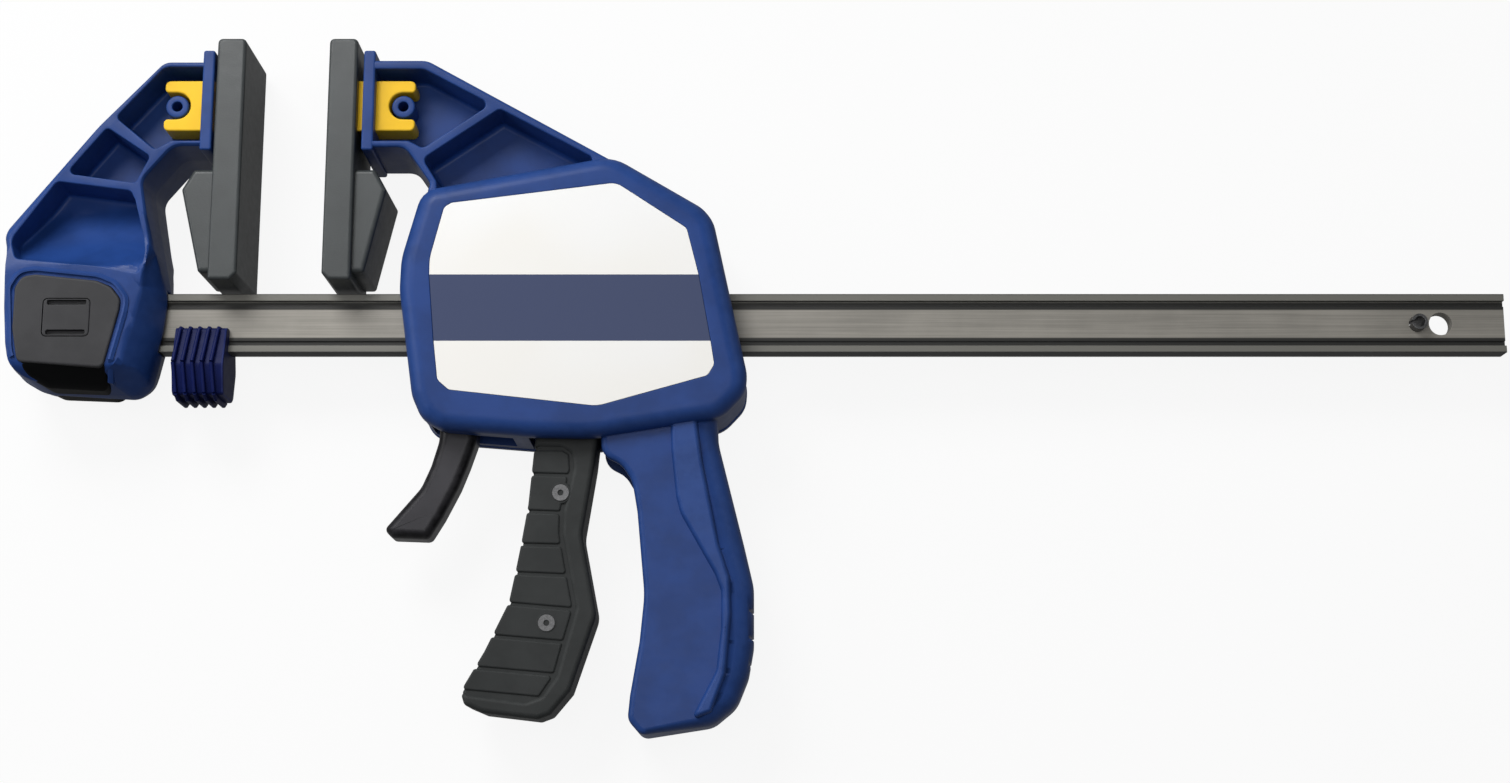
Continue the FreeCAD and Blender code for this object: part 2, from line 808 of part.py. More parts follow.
def boot_sections():
    """The boot's outer and inner sections across the hub, as (Y, Z) corners."""
    top = S.hub_drop
    outer = [
        (top, S.boot_half), (-S.boot_lip, S.boot_half), (-S.boot_foot, S.boot_toe),
        (-S.boot_foot, -S.boot_toe), (-S.boot_lip, -S.boot_half), (top, -S.boot_half),
    ]
    skin = S.boot_skin
    inner = [
        (top, S.boot_half - skin), (-S.boot_lip + skin / 2, S.boot_half - skin),
        (-S.boot_foot + skin, S.boot_toe - skin / 2), (-S.boot_foot + skin, -S.boot_toe + skin / 2),
        (-S.boot_lip + skin / 2, -S.boot_half + skin), (top, -S.boot_half + skin),
    ]
    return outer, inner


def make_hub_boot():
    """The soft grey boot that wraps the hub's front, underside and back, with an opening for the button."""
    high = S.boot_half + S.cut_over
    area = prism("boot_area", outline("boot_outline", [hub_spread(BOOT_SHARES)]), high, high)
    outer, inner = boot_sections()
    start = -S.hub_right - S.hub_width - S.cut_over
    span = S.hub_width + 2 * S.cut_over
    along = Vector(1, 0, 0)
    outer_bar = prism("boot_outer", side_outline("boot_outer_section", [outer], start), span, along=along)
    inner_bar = prism("boot_inner", side_outline("boot_inner_section", [inner], start), span, along=along)
    block = shared("boot_block", [area, outer_bar])
    wrap = without("boot_wrap", block, inner_bar)
    opening = prism("boot_opening", outline("boot_opening_outline", [button_loop(S.button_fit)]), high)
    return without("hub_boot", wrap, opening), without("boot_envelope", area, inner_bar)


def button_loop(gap):
    """The release button's outline, a gap larger all round."""
    x, y = -S.button_setback, -S.button_drop
    half_width = S.button_width / 2 + gap
    half_height = S.button_height / 2 + gap
    return box_loop(x - half_width, y - half_height, x + half_width, y + half_height)


def button_low():
    """The level of the button's underside at rest."""
    return S.boot_half - S.button_thick


def well_floor():
    """The level of the floor that the pressed button stops above."""
    return button_low() - S.button_travel - S.button_fit


def spring_floor():
    """The level that the button's spring stands on, just above the bar."""
    return S.bar_thick / 2 + S.button_well


def make_fixed_jaw(boot_envelope):
    """The fixed jaw: arm, tip plate, hub round the bar's end, and the wells for button, spring and pin."""
    front, back = fixed_plate_x()
    arm = arm_pieces("fixed_arm", FIXED_ARM_SHARES, FIXED_RIB_SHARES, back, -S.fixed_arm_depth, front)
    blank = joined("fixed_jaw_blank", [joined("fixed_arm", arm), joined("hub", hub_solid())])
    passage = bar_passage("fixed_jaw_passage", -S.bar_tail - S.bar_fit, S.cut_over)
    well_outline = outline("well_outline", [button_loop(S.button_fit)], well_floor())
    well = prism("button_well", well_outline, S.hub_half)
    spring_well = rod("spring_well", S.button_coil_dia + S.button_wire + 4 * S.slide_gap, spring_floor(),
                      well_floor() + S.cut_over, -S.button_setback)
    pin_low = -S.lock_pin_reach - S.button_travel - S.slide_gap
    pin_bore = rod("pin_bore", S.lock_pin_dia + 2 * S.bar_fit, pin_low, spring_floor() + S.cut_over,
                   -S.button_setback)
    tools = arm_cuts("fixed_arm", front, back) + [boot_envelope, passage, well, spring_well, pin_bore]
    return without("fixed_jaw", blank, joined("fixed_jaw_cuts", tools))


def make_release_button():
    """The release button, with a finger groove along its top and bottom."""
    button = new_body("release_button")
    slab(button, [button_loop(0)], button_low(), S.boot_half)
    x, y = -S.button_setback, -S.button_drop
    half_width, half_height = S.button_width / 2, S.button_height / 2
    for edge in (y + half_height - S.button_groove, y - half_height):
        groove = box_loop(x - half_width, edge, x + half_width, edge + S.button_groove)
        cut(button, [groove], S.boot_half - S.button_groove, S.boot_half)
    return button


def make_lock_pin():
    """The steel pin under the button; its thin neck drops level with the bar when the button is pressed."""
    pin = new_body("button_lock_pin")
    place = (-S.button_setback, 0)
    neck_low = S.bar_thick / 2 - S.web_recess + S.piece_gap
    slab(pin, [(place, S.lock_pin_dia)], -S.lock_pin_reach, neck_low)
    slab(pin, [(place, S.lock_neck_dia)], neck_low, neck_low + S.button_travel)
    slab(pin, [(place, S.lock_pin_dia)], neck_low + S.button_travel, button_low())
    dress(pin, "Chamfer", S.lock_pin_dia / 8, lambda edge: flat_at(edge, -S.lock_pin_reach.value))
    return pin


def make_button_spring():
    """The spring that lifts the release button."""
    place = Placement(Vector(-S.button_setback.value, 0, spring_floor().value), Rotation())
    length = button_low().value - spring_floor().value
    return coil("button_spring", S.button_coil_dia.value, S.button_wire.value, length,
                S.button_coil_turns.value, place)


def make_pad(name, face, way):
    """A clamping pad with the tapered gusset behind its lower half."""
    pad = new_body(name)
    low = S.bar_height / 2 + S.pad_lift
    high = S.arm_height + S.plate_lip + S.pad_over
    back = face + way * S.pad_wall
    block = [
        (face + way * S.pad_toe, low),
        (back, low),
        (back, high),
        (face, high),
        (face, low + S.pad_toe),
    ]
    slab(pad, [block], -S.pad_half, S.pad_half)
    dress(pad, "Chamfer", S.pad_edge, lambda edge: flat_at(edge, face.value, "x"))
    gusset_high = jaw_plate_y()[0] - S.gusset_gap
    gusset_low = low + S.gusset_lift
    deep = back + way * S.gusset_depth
    gusset = [
        (face + way * S.pad_wall / 2, gusset_high),
        (deep - way * S.gusset_foot, gusset_high),
        (deep, gusset_high - S.gusset_shoulder),
        (back + way * S.gusset_foot, gusset_low),
        (face + way * S.pad_wall / 2, gusset_low),
    ]
    slab(pad, [gusset], -S.gusset_half, S.gusset_half)
    side = S.gusset_half.value
    dress(pad, "Chamfer", S.pad_edge, lambda edge: (
        (flat_at(edge, side) or flat_at(edge, -side)) and not flat_at(edge, back.value, "x")))
    half = S.carrier_height / 2 + S.piece_gap
    deep, past = back - way * S.carrier_embed, back + way * S.cut_over
    socket = box_loop(deep, boss_y() - half, past, boss_y() + half)
    cut(pad, [socket], -S.carrier_half - S.piece_gap, S.carrier_half + S.piece_gap)
    return pad


def make_carrier(name, face, plate, way):
    """A pad's carrier: a flange in the pad, and two C-shaped clips that swivel round the jaw's boss."""
    carrier = new_body(name)
    front, back = plate
    seat = face + way * (S.pad_wall - S.carrier_embed)
    centre = boss_x(back, front)
    end = centre + way * S.carrier_tail
    half = S.carrier_height / 2
    slab(carrier, [box_loop(seat, boss_y() - half, end, boss_y() + half)], -S.carrier_half, S.carrier_half)
    dress(carrier, "Fillet", S.carrier_edge, lambda edge: (
        flat_at(edge, end.value, "x") and edge.BoundBox.ZLength > S.carrier_half.value))
    over = S.carrier_half + S.cut_over
    past = end + way * S.cut_over
    cut(carrier, [((centre, boss_y()), S.carrier_bore)], -over, over)
    bore = S.carrier_bore / 2
    cut(carrier, [box_loop(centre, boss_y() - bore, past, boss_y() + bore)], -over, over)
    slot_start = front - way * 2 * S.slide_gap
    slot = box_loop(slot_start, boss_y() - half - S.cut_over, past, boss_y() + half + S.cut_over)
    cut(carrier, [slot], -S.web_half - S.slide_gap, S.web_half + S.slide_gap)
    return carrier


def cover_spread(shares):
    """Housing corners from shares of the housing's width and drop."""
    return spread(shares, S.cover_left, 0, S.cover_width, -S.cover_drop)


def pivots():
    """The places and the pin diameters of the trigger's pivot and the lever's pivot."""
    return [
        ((S.trigger_pivot_x, S.trigger_pivot_y), S.trigger_pin_dia),
        ((S.lever_pivot_x, S.lever_pivot_y), S.lever_pin_dia),
    ]


def make_cover(name, side):
    """A side cover: bevelled shell with a label seat, posts for the pivots and holes for the screws."""
    cover = new_body(name)
    face, base = side * S.cover_half, side * S.core_half
    roof = side * (S.cover_half - S.cover_wall)

    def levels(near, far):
        return (near, far) if near.value < far.value else (far, near)

    slab(cover, [cover_spread(COVER_SHARES)], *levels(base, face))
    dress(cover, "Chamfer", S.cover_bevel, lambda edge: flat_at(edge, face.value))
    cut(cover, [cover_spread(WINDOW_SHARES)], *levels(base, roof))
    post_low = side * (S.brake_half + S.slide_gap)
    slab(cover, [(spot, across + 2 * S.cover_wall) for spot, across in pivots()], *levels(post_low, roof))
    pin_end = side * (S.cover_half - S.cover_wall - S.piece_gap)
    cut(cover, [(spot, across + S.pin_fit) for spot, across in pivots()], *levels(post_low, pin_end))
    cut(cover, [spread(LABEL_SHARES, S.label_left, 0, S.label_width, -S.label_drop)],
        *levels(face - side * S.label_sink, face))
    shanks = [(spot, S.screw_dia) for spot in cover_spread(SCREW_SHARES)]
    if side > 0:
        cut(cover, shanks, *levels(base, face - side * 2 * S.screw_recess_wall))
    else:
        cut(cover, shanks, *levels(base, face))
        heads = [(spot, S.screw_head_dia) for spot in cover_spread(SCREW_SHARES)]
        cut(cover, heads, *levels(screw_seat(), face))
    return cover


def screw_seat():
    """The level that the screw heads seat on, under the rear label."""
    return -S.cover_half + S.label_sink + S.screw_head_height


def make_label(name, side):
    """A label plate, sunk flush in its cover; it is bare."""
    label = new_body(name)
    face = side * S.cover_half
    seat = side * (S.cover_half - S.label_sink)
    low, high = (seat, face) if side > 0 else (face, seat)
    slab(label, [spread(LABEL_SHARES, S.label_left, 0, S.label_width, -S.label_drop)], low, high)
    return label


def make_screws():
    """The four screws that hold the covers to the frame, driven from the rear."""
    screws = []
    for number, (x, y) in enumerate(cover_spread(SCREW_SHARES)):
        head_low = screw_seat() - S.screw_head_height
        head = rod("screw_head_%d" % number, S.screw_head_dia, head_low, screw_seat(), x, y)
        tip = S.cover_half - 2 * S.screw_recess_wall
        shank = rod("screw_shank_%d" % number, S.screw_dia, screw_seat(), tip, x, y)
        socket = rod("screw_socket_%d" % number, S.screw_socket, head_low - S.cut_over,
                     head_low + S.screw_head_height / 2, x, y)
        blank = joined("screw_blank_%d" % number, [head, shank])
        screws.append(without("screw_%d" % number, blank, socket))
    return joined("cover_screws", screws)


def handle_spread(shares):
    """Handle corners from shares of the handle's width and drop."""
    return spread(shares, S.handle_left, 0, S.handle_width, -S.handle_drop)


def handle_pieces():
    """The pistol handle and the raised strip down its side."""
    body = bevelled("handle_solid", [handle_spread(HANDLE_SHARES)], S.handle_half, S.handle_edge)
    strip_half = S.handle_half + S.strip_proud
    strip_outline = outline("strip_outline", [handle_spread(STRIP_SHARES)])
    strip = prism("handle_strip", strip_outline, strip_half, strip_half)
    return [body, strip]


def palm_notches():
    """The notches between the palm ribs on the back of the handle."""
    right = S.handle_left + S.handle_width
    top = -PALM_RIB_SHARE * S.handle_drop
    loops = []
    for step in range(PALM_NOTCHES):
        y = top - step * S.palm_rib_pitch
        loops.append([(right + S.cut_over, y), (right - S.palm_rib_depth, y),
                      (right + S.cut_over, y - S.palm_rib_pitch / 2)])
    half = S.handle_half + S.cut_over
    return prism("palm_notches", outline("palm_notch_outline", loops), half, half)


def make_jaw_frame():
    """The moving jaw's frame: arm and tip plate, mechanism core, and the handle."""
    front, back = moving_plate_x()
    arm = arm_pieces("moving_arm", MOVING_ARM_SHARES, MOVING_RIB_SHARES, back, S.moving_arm_depth, front)
    arm_blank = joined("moving_arm_blank", arm)
    cover_area = outline("cover_area", [cover_spread(COVER_SHARES)])
    tall = S.jaw_half + S.cut_over
    cover_room = without("cover_room", prism("cover_room_full", cover_area, tall, tall),
                         prism("core_room", cover_area, S.core_half, S.core_half))
    arm_part = without("moving_arm", arm_blank, cover_room)
    core = prism("core_blank", cover_area, S.core_half, S.core_half)
    handle = without("handle", joined("handle_blank", handle_pieces()),
                     prism("cover_room_tall", cover_area, S.cover_half, S.cover_half))
    blank = joined("jaw_frame_blank", [arm_part, core, handle])
    return without("jaw_frame", blank, joined("jaw_frame_cuts", frame_cuts(front, back)))


def brake_wall_x():
    """The left and right faces of the wall that the brake spring pushes from."""
    right = S.trigger_pivot_x - S.cheek_front - S.brake_wall_gap
    return right - S.cover_wall, right


def frame_cuts(front, back):
    """The spaces in the moving jaw's frame."""
    high = S.cover_half
    room = prism("room", outline("window_outline", [cover_spread(WINDOW_SHARES)]), high, high)
    wall_left, wall_right = brake_wall_x()
    wall_top = -S.bar_height / 2 - S.brake_wall_drop
    wall_outline = outline("brake_wall_outline", [box_loop(wall_left, -S.cover_drop, wall_right, wall_top)])
    window = without("window", room, prism("brake_wall", wall_outline, high, high))
    cover_right = S.cover_left + S.cover_width
    passage = bar_passage("frame_passage", S.cover_left - S.cut_over, cover_right + S.cut_over)
    lever_half = S.lever_half + S.slide_gap
    lever_left = S.lever_pivot_x - S.lever_width * LEVER_SLOT_SHARES[0]
    lever_right = S.lever_pivot_x + S.lever_width * LEVER_SLOT_SHARES[1]
    low = -S.cover_drop - S.cut_over
    lever_top = -S.cover_drop * SLOT_TOP_SHARES[0]
    trigger_top = -S.cover_drop * SLOT_TOP_SHARES[1]
    lever_outline = outline("lever_slot_outline", [box_loop(lever_left, low, lever_right, lever_top)])
    lever_slot = prism("lever_slot", lever_outline, lever_half, lever_half)
    trigger_half = S.trigger_half + S.slide_gap
    trigger_left = S.trigger_pivot_x - S.trigger_width * TRIGGER_SLOT_SHARES[0]
    trigger_right = S.trigger_pivot_x + S.trigger_width * TRIGGER_SLOT_SHARES[1]
    trigger_loop = box_loop(trigger_left, low, trigger_right, trigger_top)
    trigger_slot = prism("trigger_slot", outline("trigger_slot_outline", [trigger_loop]),
                         trigger_half, trigger_half)
    channel = prism("handle_channel", outline("channel_outline", [handle_spread(CHANNEL_SHARES)]),
                    trigger_half, trigger_half)
    past = S.core_half + S.cut_over
    screws = [rod("frame_screw_hole_%d" % i, S.screw_dia, -past, past, x, y)
              for i, (x, y) in enumerate(cover_spread(SCREW_SHARES))]
    parts = [window, passage, lever_slot, trigger_slot, channel, palm_notches()]
    return arm_cuts("moving_arm", front, back) + parts + screws


def make_pivot_pin(name, spot, diameter):
    """A pivot pin held between the two covers."""
    pin = new_body(name)
    half = S.cover_half - S.cover_wall - S.piece_gap
    slab(pin, [(spot, diameter)], -half, half)
    return pin


def trigger_spread(shares):
    """Trigger corners from shares of the trigger's width and length, counted from its pivot."""
    return spread(shares, S.trigger_pivot_x, S.trigger_pivot_y, S.trigger_width, -S.trigger_length)


def blade_loop():
    """The outline of the steel blade inside the trigger's lower part."""
    middle = trigger_spread(BLADE_SHARES)
    half = S.blade_width / 2
    return [(x - half, y) for x, y in middle] + [(x + half, y) for x, y in reversed(middle)]


def cheek_z():
    """The inner and outer levels of the trigger's two steel cheeks beside the bar."""
    inner = S.bar_thick / 2 + S.cheek_gap
    return inner, inner + S.cheek_wall


def make_trigger_core():
    """The trigger's steel fork: cheeks beside the bar, driving noses, and the blade down the trigger."""
    core = new_body("trigger_core")
    x, y = S.trigger_pivot_x, S.trigger_pivot_y
    inner, outer = cheek_z()
    cheek = [
        (x - S.cheek_front, y + S.cheek_head),
        (x + S.cheek_front, y + S.cheek_head),
        (x + S.cheek_front, S.nose_half * 2),
        (x + S.nose_reach, S.nose_half),
        (x + S.nose_reach, -S.nose_half),
        (x + S.cheek_back, -S.nose_half * 2),
        (x + S.cheek_back, -S.fork_drop),
        (x - S.cheek_front, -S.fork_drop),
    ]
    slab(core, [cheek], -outer, outer)
    roof = y - S.fork_roof
    left, right = x - S.cheek_front - S.cut_over, x + S.nose_reach + S.cut_over
    cut(core, [box_loop(left, roof, right, y + S.cheek_head + S.cut_over)], -inner, inner)
    slab(core, [blade_loop()], -S.blade_half, S.blade_half)
    cut(core, [((x, y), S.trigger_pin_dia + 2 * S.pin_fit)], -outer - S.cut_over, outer + S.cut_over)
    cut(core, [(spot, S.rivet_dia) for spot in trigger_spread(RIVET_SHARES)], -outer, outer)
    return core


def make_trigger_half(name, side):
    """One black half of the trigger, grooved across for the fingers and hollowed for the steel blade."""
    half = new_body(name)
    face = side * S.trigger_half

    def levels(near, far):
        return (near, far) if value_of(near) < value_of(far) else (far, near)

    slab(half, [trigger_spread(TRIGGER_SHARES)], *levels(side * S.piece_gap / 10, face))
    dress(half, "Chamfer", S.trigger_edge, lambda edge: flat_at(edge, face.value))
    cut(half, [blade_loop()], *levels(side * S.piece_gap / 10, side * S.blade_half))
    cut(half, groove_loops(), *levels(face - side * S.trigger_groove_depth, face))
    cut(half, [(spot, S.rivet_dia) for spot in trigger_spread(RIVET_SHARES)],
        *levels(side * S.piece_gap / 10, face))
    return half


def groove_loops():
    """The outlines of the grooves across the trigger's face."""
    loops = []
    for ends in GROOVE_SHARES:
        (x_a, y_a), (x_b, y_b) = trigger_spread(ends)
        width = S.trigger_groove_width
        loops.append([(x_a, y_a - width), (x_b, y_b - width), (x_b, y_b), (x_a, y_a)])
    return loops


def make_rivets():
    """The two tubular rivets through the trigger."""
    rivets = []
    for number, (x, y) in enumerate(trigger_spread(RIVET_SHARES)):
        half = S.trigger_half
        shank = rod("rivet_shank_%d" % number, S.rivet_dia, -half, half, x, y)
        near = rod("rivet_head_near_%d" % number, S.rivet_head_dia, half, half + S.rivet_proud, x, y)
        far = rod("rivet_head_far_%d" % number, S.rivet_head_dia, -half - S.rivet_proud, -half, x, y)
        bore = rod("rivet_bore_%d" % number, S.rivet_bore, -half - S.cut_over, half + S.cut_over, x, y)
        blank = joined("rivet_blank_%d" % number, [shank, near, far])
        rivets.append(without("rivet_%d" % number, blank, bore))
    return joined("trigger_rivets", rivets)


def drive_plate_start():
    """The front face of the first drive plate, just behind the trigger's noses."""
    return S.trigger_pivot_x + S.nose_reach + S.drive_slack


def make_drive_plates():
    """The two steel plates round the bar that the trigger pushes."""
    half_height = S.bar_height / 2 + S.slide_gap
    half_thick = S.bar_thick / 2 + S.slide_gap
    plates = []
    for number in range(2):
        plate = box_loop(-S.drive_plate_rise, -S.drive_plate_half, S.drive_plate_rise, S.drive_plate_half)
        hole = box_loop(-half_height, -half_thick, half_height, half_thick)
        start = drive_plate_start() + number * S.drive_plate_step
        section = side_outline("drive_plate_section_%d" % number, [plate, hole], start)
        plates.append(prism("drive_plate_%d" % number, section, S.drive_plate_wall, along=Vector(1, 0, 0)))
    return joined("drive_plates", plates)


def make_drive_spring():
    """The spring round the bar behind the drive plates."""
    start = (drive_plate_start() + S.drive_plate_step + S.drive_plate_wall + S.piece_gap).value
    length = (S.cover_left + DRIVE_WALL_SHARE * S.cover_width - S.piece_gap).value - start
    coil_dia = S.bar_height.value + 2 * S.drive_coil_gap.value + S.drive_wire.value
    place = Placement(Vector(start, 0, 0), Rotation(Vector(0, 1, 0), 90))
    return coil("drive_spring", coil_dia, S.drive_wire.value, length, S.drive_coil_turns.value, place)


def tilted(piece):
    """Lean a piece of the release lever about its pivot by the brake plate's tilt."""
    pivot = Vector(S.lever_pivot_x.value, S.lever_pivot_y.value, 0)
    turn = Rotation(Vector(0, 0, 1), -S.brake_tilt.value)
    piece.Placement = Placement(Vector(0, 0, 0), turn, pivot)
    doc.recompute()
    return piece


def make_brake_plate():
    """The steel brake plate that leans on the bar and locks the jaw."""
    plate = new_body("brake_plate")
    x, y = S.lever_pivot_x, S.lever_pivot_y
    left, right = x - S.brake_wall / 2, x + S.brake_wall / 2
    slab(plate, [box_loop(left, y - S.brake_foot, right, y + S.brake_head)], -S.brake_half, S.brake_half)
    tail_high = y - S.brake_foot + S.brake_wall
    slab(plate, [box_loop(left, y - S.brake_tail, right, tail_high)], -S.brake_tail_half, S.brake_tail_half)
    eye = S.lever_pin_dia + 2 * S.brake_wall / 2
    slab(plate, [((x, y), eye)], -S.brake_half, S.brake_half)
    past = S.brake_half + S.cut_over
    cut(plate, [((x, y), S.lever_pin_dia + 2 * S.pin_fit)], -past, past)
    lean = math.cos(math.radians(S.brake_tilt.value / 2))
    centre = y - y * round(1 / lean, 4)
    half_height = S.bar_height / 2 + S.brake_slack
    hole = box_loop(left - S.cut_over, centre - half_height, right + S.cut_over, centre + half_height)
    cut(plate, [hole], -S.bar_thick / 2 - S.slide_gap, S.bar_thick / 2 + S.slide_gap)
    return tilted(plate)


def make_release_lever():
    """The black release lever, moulded round the brake plate's tail."""
    lever = new_body("release_lever")
    corners = spread(LEVER_SHARES, S.lever_pivot_x, S.lever_pivot_y, S.lever_width, -S.lever_length)
    slab(lever, [corners], -S.lever_half, S.lever_half)
    dress(lever, "Chamfer", S.lever_edge,
          lambda edge: flat_at(edge, S.lever_half.value) or flat_at(edge, -S.lever_half.value))
    return lever


def make_lever_socket(lever, plate):
    """The lever less the room that the brake plate takes in it."""
    return without("release_lever_moulded", lever, plate)


def make_brake_spring():
    """The spring that leans the brake plate back onto the bar."""
    y = S.lever_pivot_y.value - S.brake_spring_drop.value
    lever_edge_share = max(x for x, _ in LEVER_SHARES)
    start = (S.lever_pivot_x + lever_edge_share * S.lever_width + S.piece_gap).value
    end = (brake_wall_x()[0] - S.piece_gap).value
    place = Placement(Vector(start, y, 0), Rotation(Vector(0, 1, 0), 90))
    return coil("brake_spring", S.brake_coil_dia.value, S.brake_wire.value, end - start,
                S.brake_coil_turns.value, place)


def clip_loop(grow):
    """The bar clip's section, as (Y, Z); its ribs grow outwards by a height."""
    lip = S.bar_thick / 2 - S.web_recess + S.bar_fit
    hook = S.bar_thick / 2 + S.bar_fit
    seat = S.bar_height / 2 + S.bar_fit
    ledge = S.bar_height / 2 - S.flange_height - S.bar_fit
    near = [
        (-S.clip_top, lip),
        (-S.clip_top, S.bar_thick / 2 + S.clip_lip_wall + grow),
        (-S.clip_shoulder, S.clip_shoulder_half + grow),
        (-S.clip_foot, S.clip_foot_half + grow),
        (-S.clip_foot - grow, S.clip_foot_half),
    ]
    if value_of(grow) == 0:
        near = near[:4]
    far = [(y, -z) for y, z in reversed(near)]
    inner = [(-ledge, -lip), (-ledge, -hook), (-seat, -hook), (-seat, hook), (-ledge, hook), (-ledge, lip)]
    return near + far + inner


def make_bar_clip():
    """The ribbed saddle that clips over the lower half of the bar."""
    clip = new_body("bar_clip")
    left = -S.clip_left
    width = (CLIP_RIBS - 1) * S.clip_pitch + S.clip_rib_wall
    slab(clip, [clip_loop(0)], left, left + width, "YZ_Plane")
    for number in range(CLIP_RIBS):
        start = left + number * S.clip_pitch
        slab(clip, [clip_loop(S.clip_rib_height)], start, start + S.clip_rib_wall, "YZ_Plane")
    return clip


def build():
    """Make every piece and return each with the name of its file."""
    face = Size("0", 0)
    hub_boot, boot_envelope = make_hub_boot()
    brake_plate = make_brake_plate()
    lever = make_lever_socket(make_release_lever(), brake_plate)
    return {
        "bar": make_bar(),
        "stop_pin": make_stop_pin(),
        "fixed_jaw": make_fixed_jaw(boot_envelope),
        "hub_boot": hub_boot,
        "release_button": make_release_button(),
        "button_lock_pin": make_lock_pin(),
        "button_spring": make_button_spring(),
        "fixed_pad": make_pad("fixed_pad", face, -1),
        "fixed_pad_carrier": make_carrier("fixed_pad_carrier", face, fixed_plate_x(), -1),
        "moving_pad": make_pad("moving_pad", S.jaw_opening, 1),
        "moving_pad_carrier": make_carrier("moving_pad_carrier", S.jaw_opening, moving_plate_x(), 1),
        "jaw_frame": make_jaw_frame(),
        "side_cover_front": make_cover("side_cover_front", 1),
        "side_cover_rear": make_cover("side_cover_rear", -1),
        "label_front": make_label("label_front", 1),
        "label_rear": make_label("label_rear", -1),
        "cover_screws": make_screws(),
        "trigger_pivot_pin": make_pivot_pin("trigger_pivot_pin", *pivots()[0]),
        "lever_pivot_pin": make_pivot_pin("lever_pivot_pin", *pivots()[1]),
        "trigger_core": make_trigger_core(),
        "trigger_half_front": make_trigger_half("trigger_half_front", 1),
        "trigger_half_rear": make_trigger_half("trigger_half_rear", -1),
        "trigger_rivets": make_rivets(),
        "drive_plates": make_drive_plates(),
        "drive_spring": make_drive_spring(),
        "brake_plate": brake_plate,
        "brake_spring": make_brake_spring(),
        "release_lever": lever,
        "bar_clip": make_bar_clip(),
    }


def check_and_write(pieces):
    """Stop on any failed object or bad shape, then write one file for each piece."""
    doc.recompute()
    for thing in doc.Objects:
        if "Invalid" in thing.State or "Error" in thing.State:
            raise ValueError("%s failed: %s" % (thing.Label, thing.State))
    os.makedirs("parts", exist_ok=True)
    for node, piece in pieces.items():
        shape = piece.Shape
        if shape.isNull() or not shape.isValid():
            raise ValueError("%s has no valid shape" % node)
        solids = len(shape.Solids)
        box = shape.BoundBox
        print("%-20s %d solid(s) %10.1f mm3  X %.1f..%.1f Y %.1f..%.1f Z %.1f..%.1f" % (
            node, solids, shape.Volume, box.XMin, box.XMax, box.YMin, box.YMax, box.ZMin, box.ZMax))
        shape.exportStep("parts/%s.step" % node)


check_and_write(build())
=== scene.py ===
"""Looks of a quick release bar clamp that lies flat on its side.

Sizes are in millimetres. X runs along the bar from the fixed pad's face, Y towards the jaw tips,
and Z out of the front side.
"""
import logging
import math
from collections.abc import Callable, Iterable, Sequence
from dataclasses import dataclass, field
from enum import Enum

import bmesh
import bpy
from mathutils import Matrix, Vector


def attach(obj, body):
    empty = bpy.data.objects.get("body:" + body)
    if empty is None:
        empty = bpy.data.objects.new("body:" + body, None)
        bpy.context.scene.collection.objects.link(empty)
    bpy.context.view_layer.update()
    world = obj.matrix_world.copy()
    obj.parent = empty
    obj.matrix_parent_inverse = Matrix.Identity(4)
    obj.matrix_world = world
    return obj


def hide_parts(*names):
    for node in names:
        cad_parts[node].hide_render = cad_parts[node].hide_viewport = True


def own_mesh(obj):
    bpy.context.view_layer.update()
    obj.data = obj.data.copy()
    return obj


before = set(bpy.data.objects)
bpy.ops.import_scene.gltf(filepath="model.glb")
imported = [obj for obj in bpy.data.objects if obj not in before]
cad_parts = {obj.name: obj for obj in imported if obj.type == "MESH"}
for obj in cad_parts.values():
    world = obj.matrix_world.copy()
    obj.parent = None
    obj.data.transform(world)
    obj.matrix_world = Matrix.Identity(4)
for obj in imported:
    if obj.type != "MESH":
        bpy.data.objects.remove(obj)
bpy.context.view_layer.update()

MM = 0.001
# The mesh attribute for how much an edge takes its edge colour: wear on most finishes, painted shade on the
# lever's rounded sides and painted highlight on the clip's ends.
WEAR_AND_LIGHT = "wear_and_light"
SIDES = (("front", 1), ("rear", -1))
# The angle, in degrees, from which an edge stays sharp.
EDGE_ANGLE = 38.0
# How strongly the finer waves of a noise show.
NOISE_ROUGHNESS = 0.55
# The least radius of a rounded corner that is moved in, and the share of a run that an arc may take.
LEAST_RADIUS = 0.12
ARC_REACH = 0.47
# Half the height of the flat at a parting line.
SEAM_HALF = 0.12
# The length from which a pocket's edge is divided.
LONG_RUN = 2.4
# The most of a pocket's depth that its lip or its root takes, and the least such depth.
POCKET_SHARE = 0.48
LEAST_DEPTH = 0.01
TINY = 0.001
# How near two vertices are to become one, in moulded pieces and in copies of nodes.
MELT, NODE_MELT = 0.004, 1e-6
# How near a slice a vertex is to lie on it.
ON_SLICE = 1e-4
# In copies of nodes: the bend that counts as flat, the least one that is rounded, and the sharp ones.
FLAT_ANGLE, SOFT_ANGLE, NODE_SHARP = 1.0, 35.0, 30.0
# A level beyond every face.
CLEAR = 30.0
log = logging.getLogger("clamp")

Point = tuple[float, float]
Level = float | Callable[[float, float], float]


def at(level: Level, x: float, y: float) -> float:
    """A level, or a level's value at a place."""
    return level(x, y) if callable(level) else level


def ease(value: float, start: float, end: float) -> float:
    """0 at start, 1 at end, and a smooth step between."""
    share = min(max((value - start) / (end - start), 0.0), 1.0)
    return share * share * (3 - 2 * share)


def srgb(red: int, green: int, blue: int) -> tuple[float, float, float, float]:
    """A display colour as the linear colour that a shader takes."""
    linear = [c / 255 / 12.92 if c <= 10 else ((c / 255 + 0.055) / 1.055) ** 2.4 for c in (red, green, blue)]
    return (linear[0], linear[1], linear[2], 1.0)


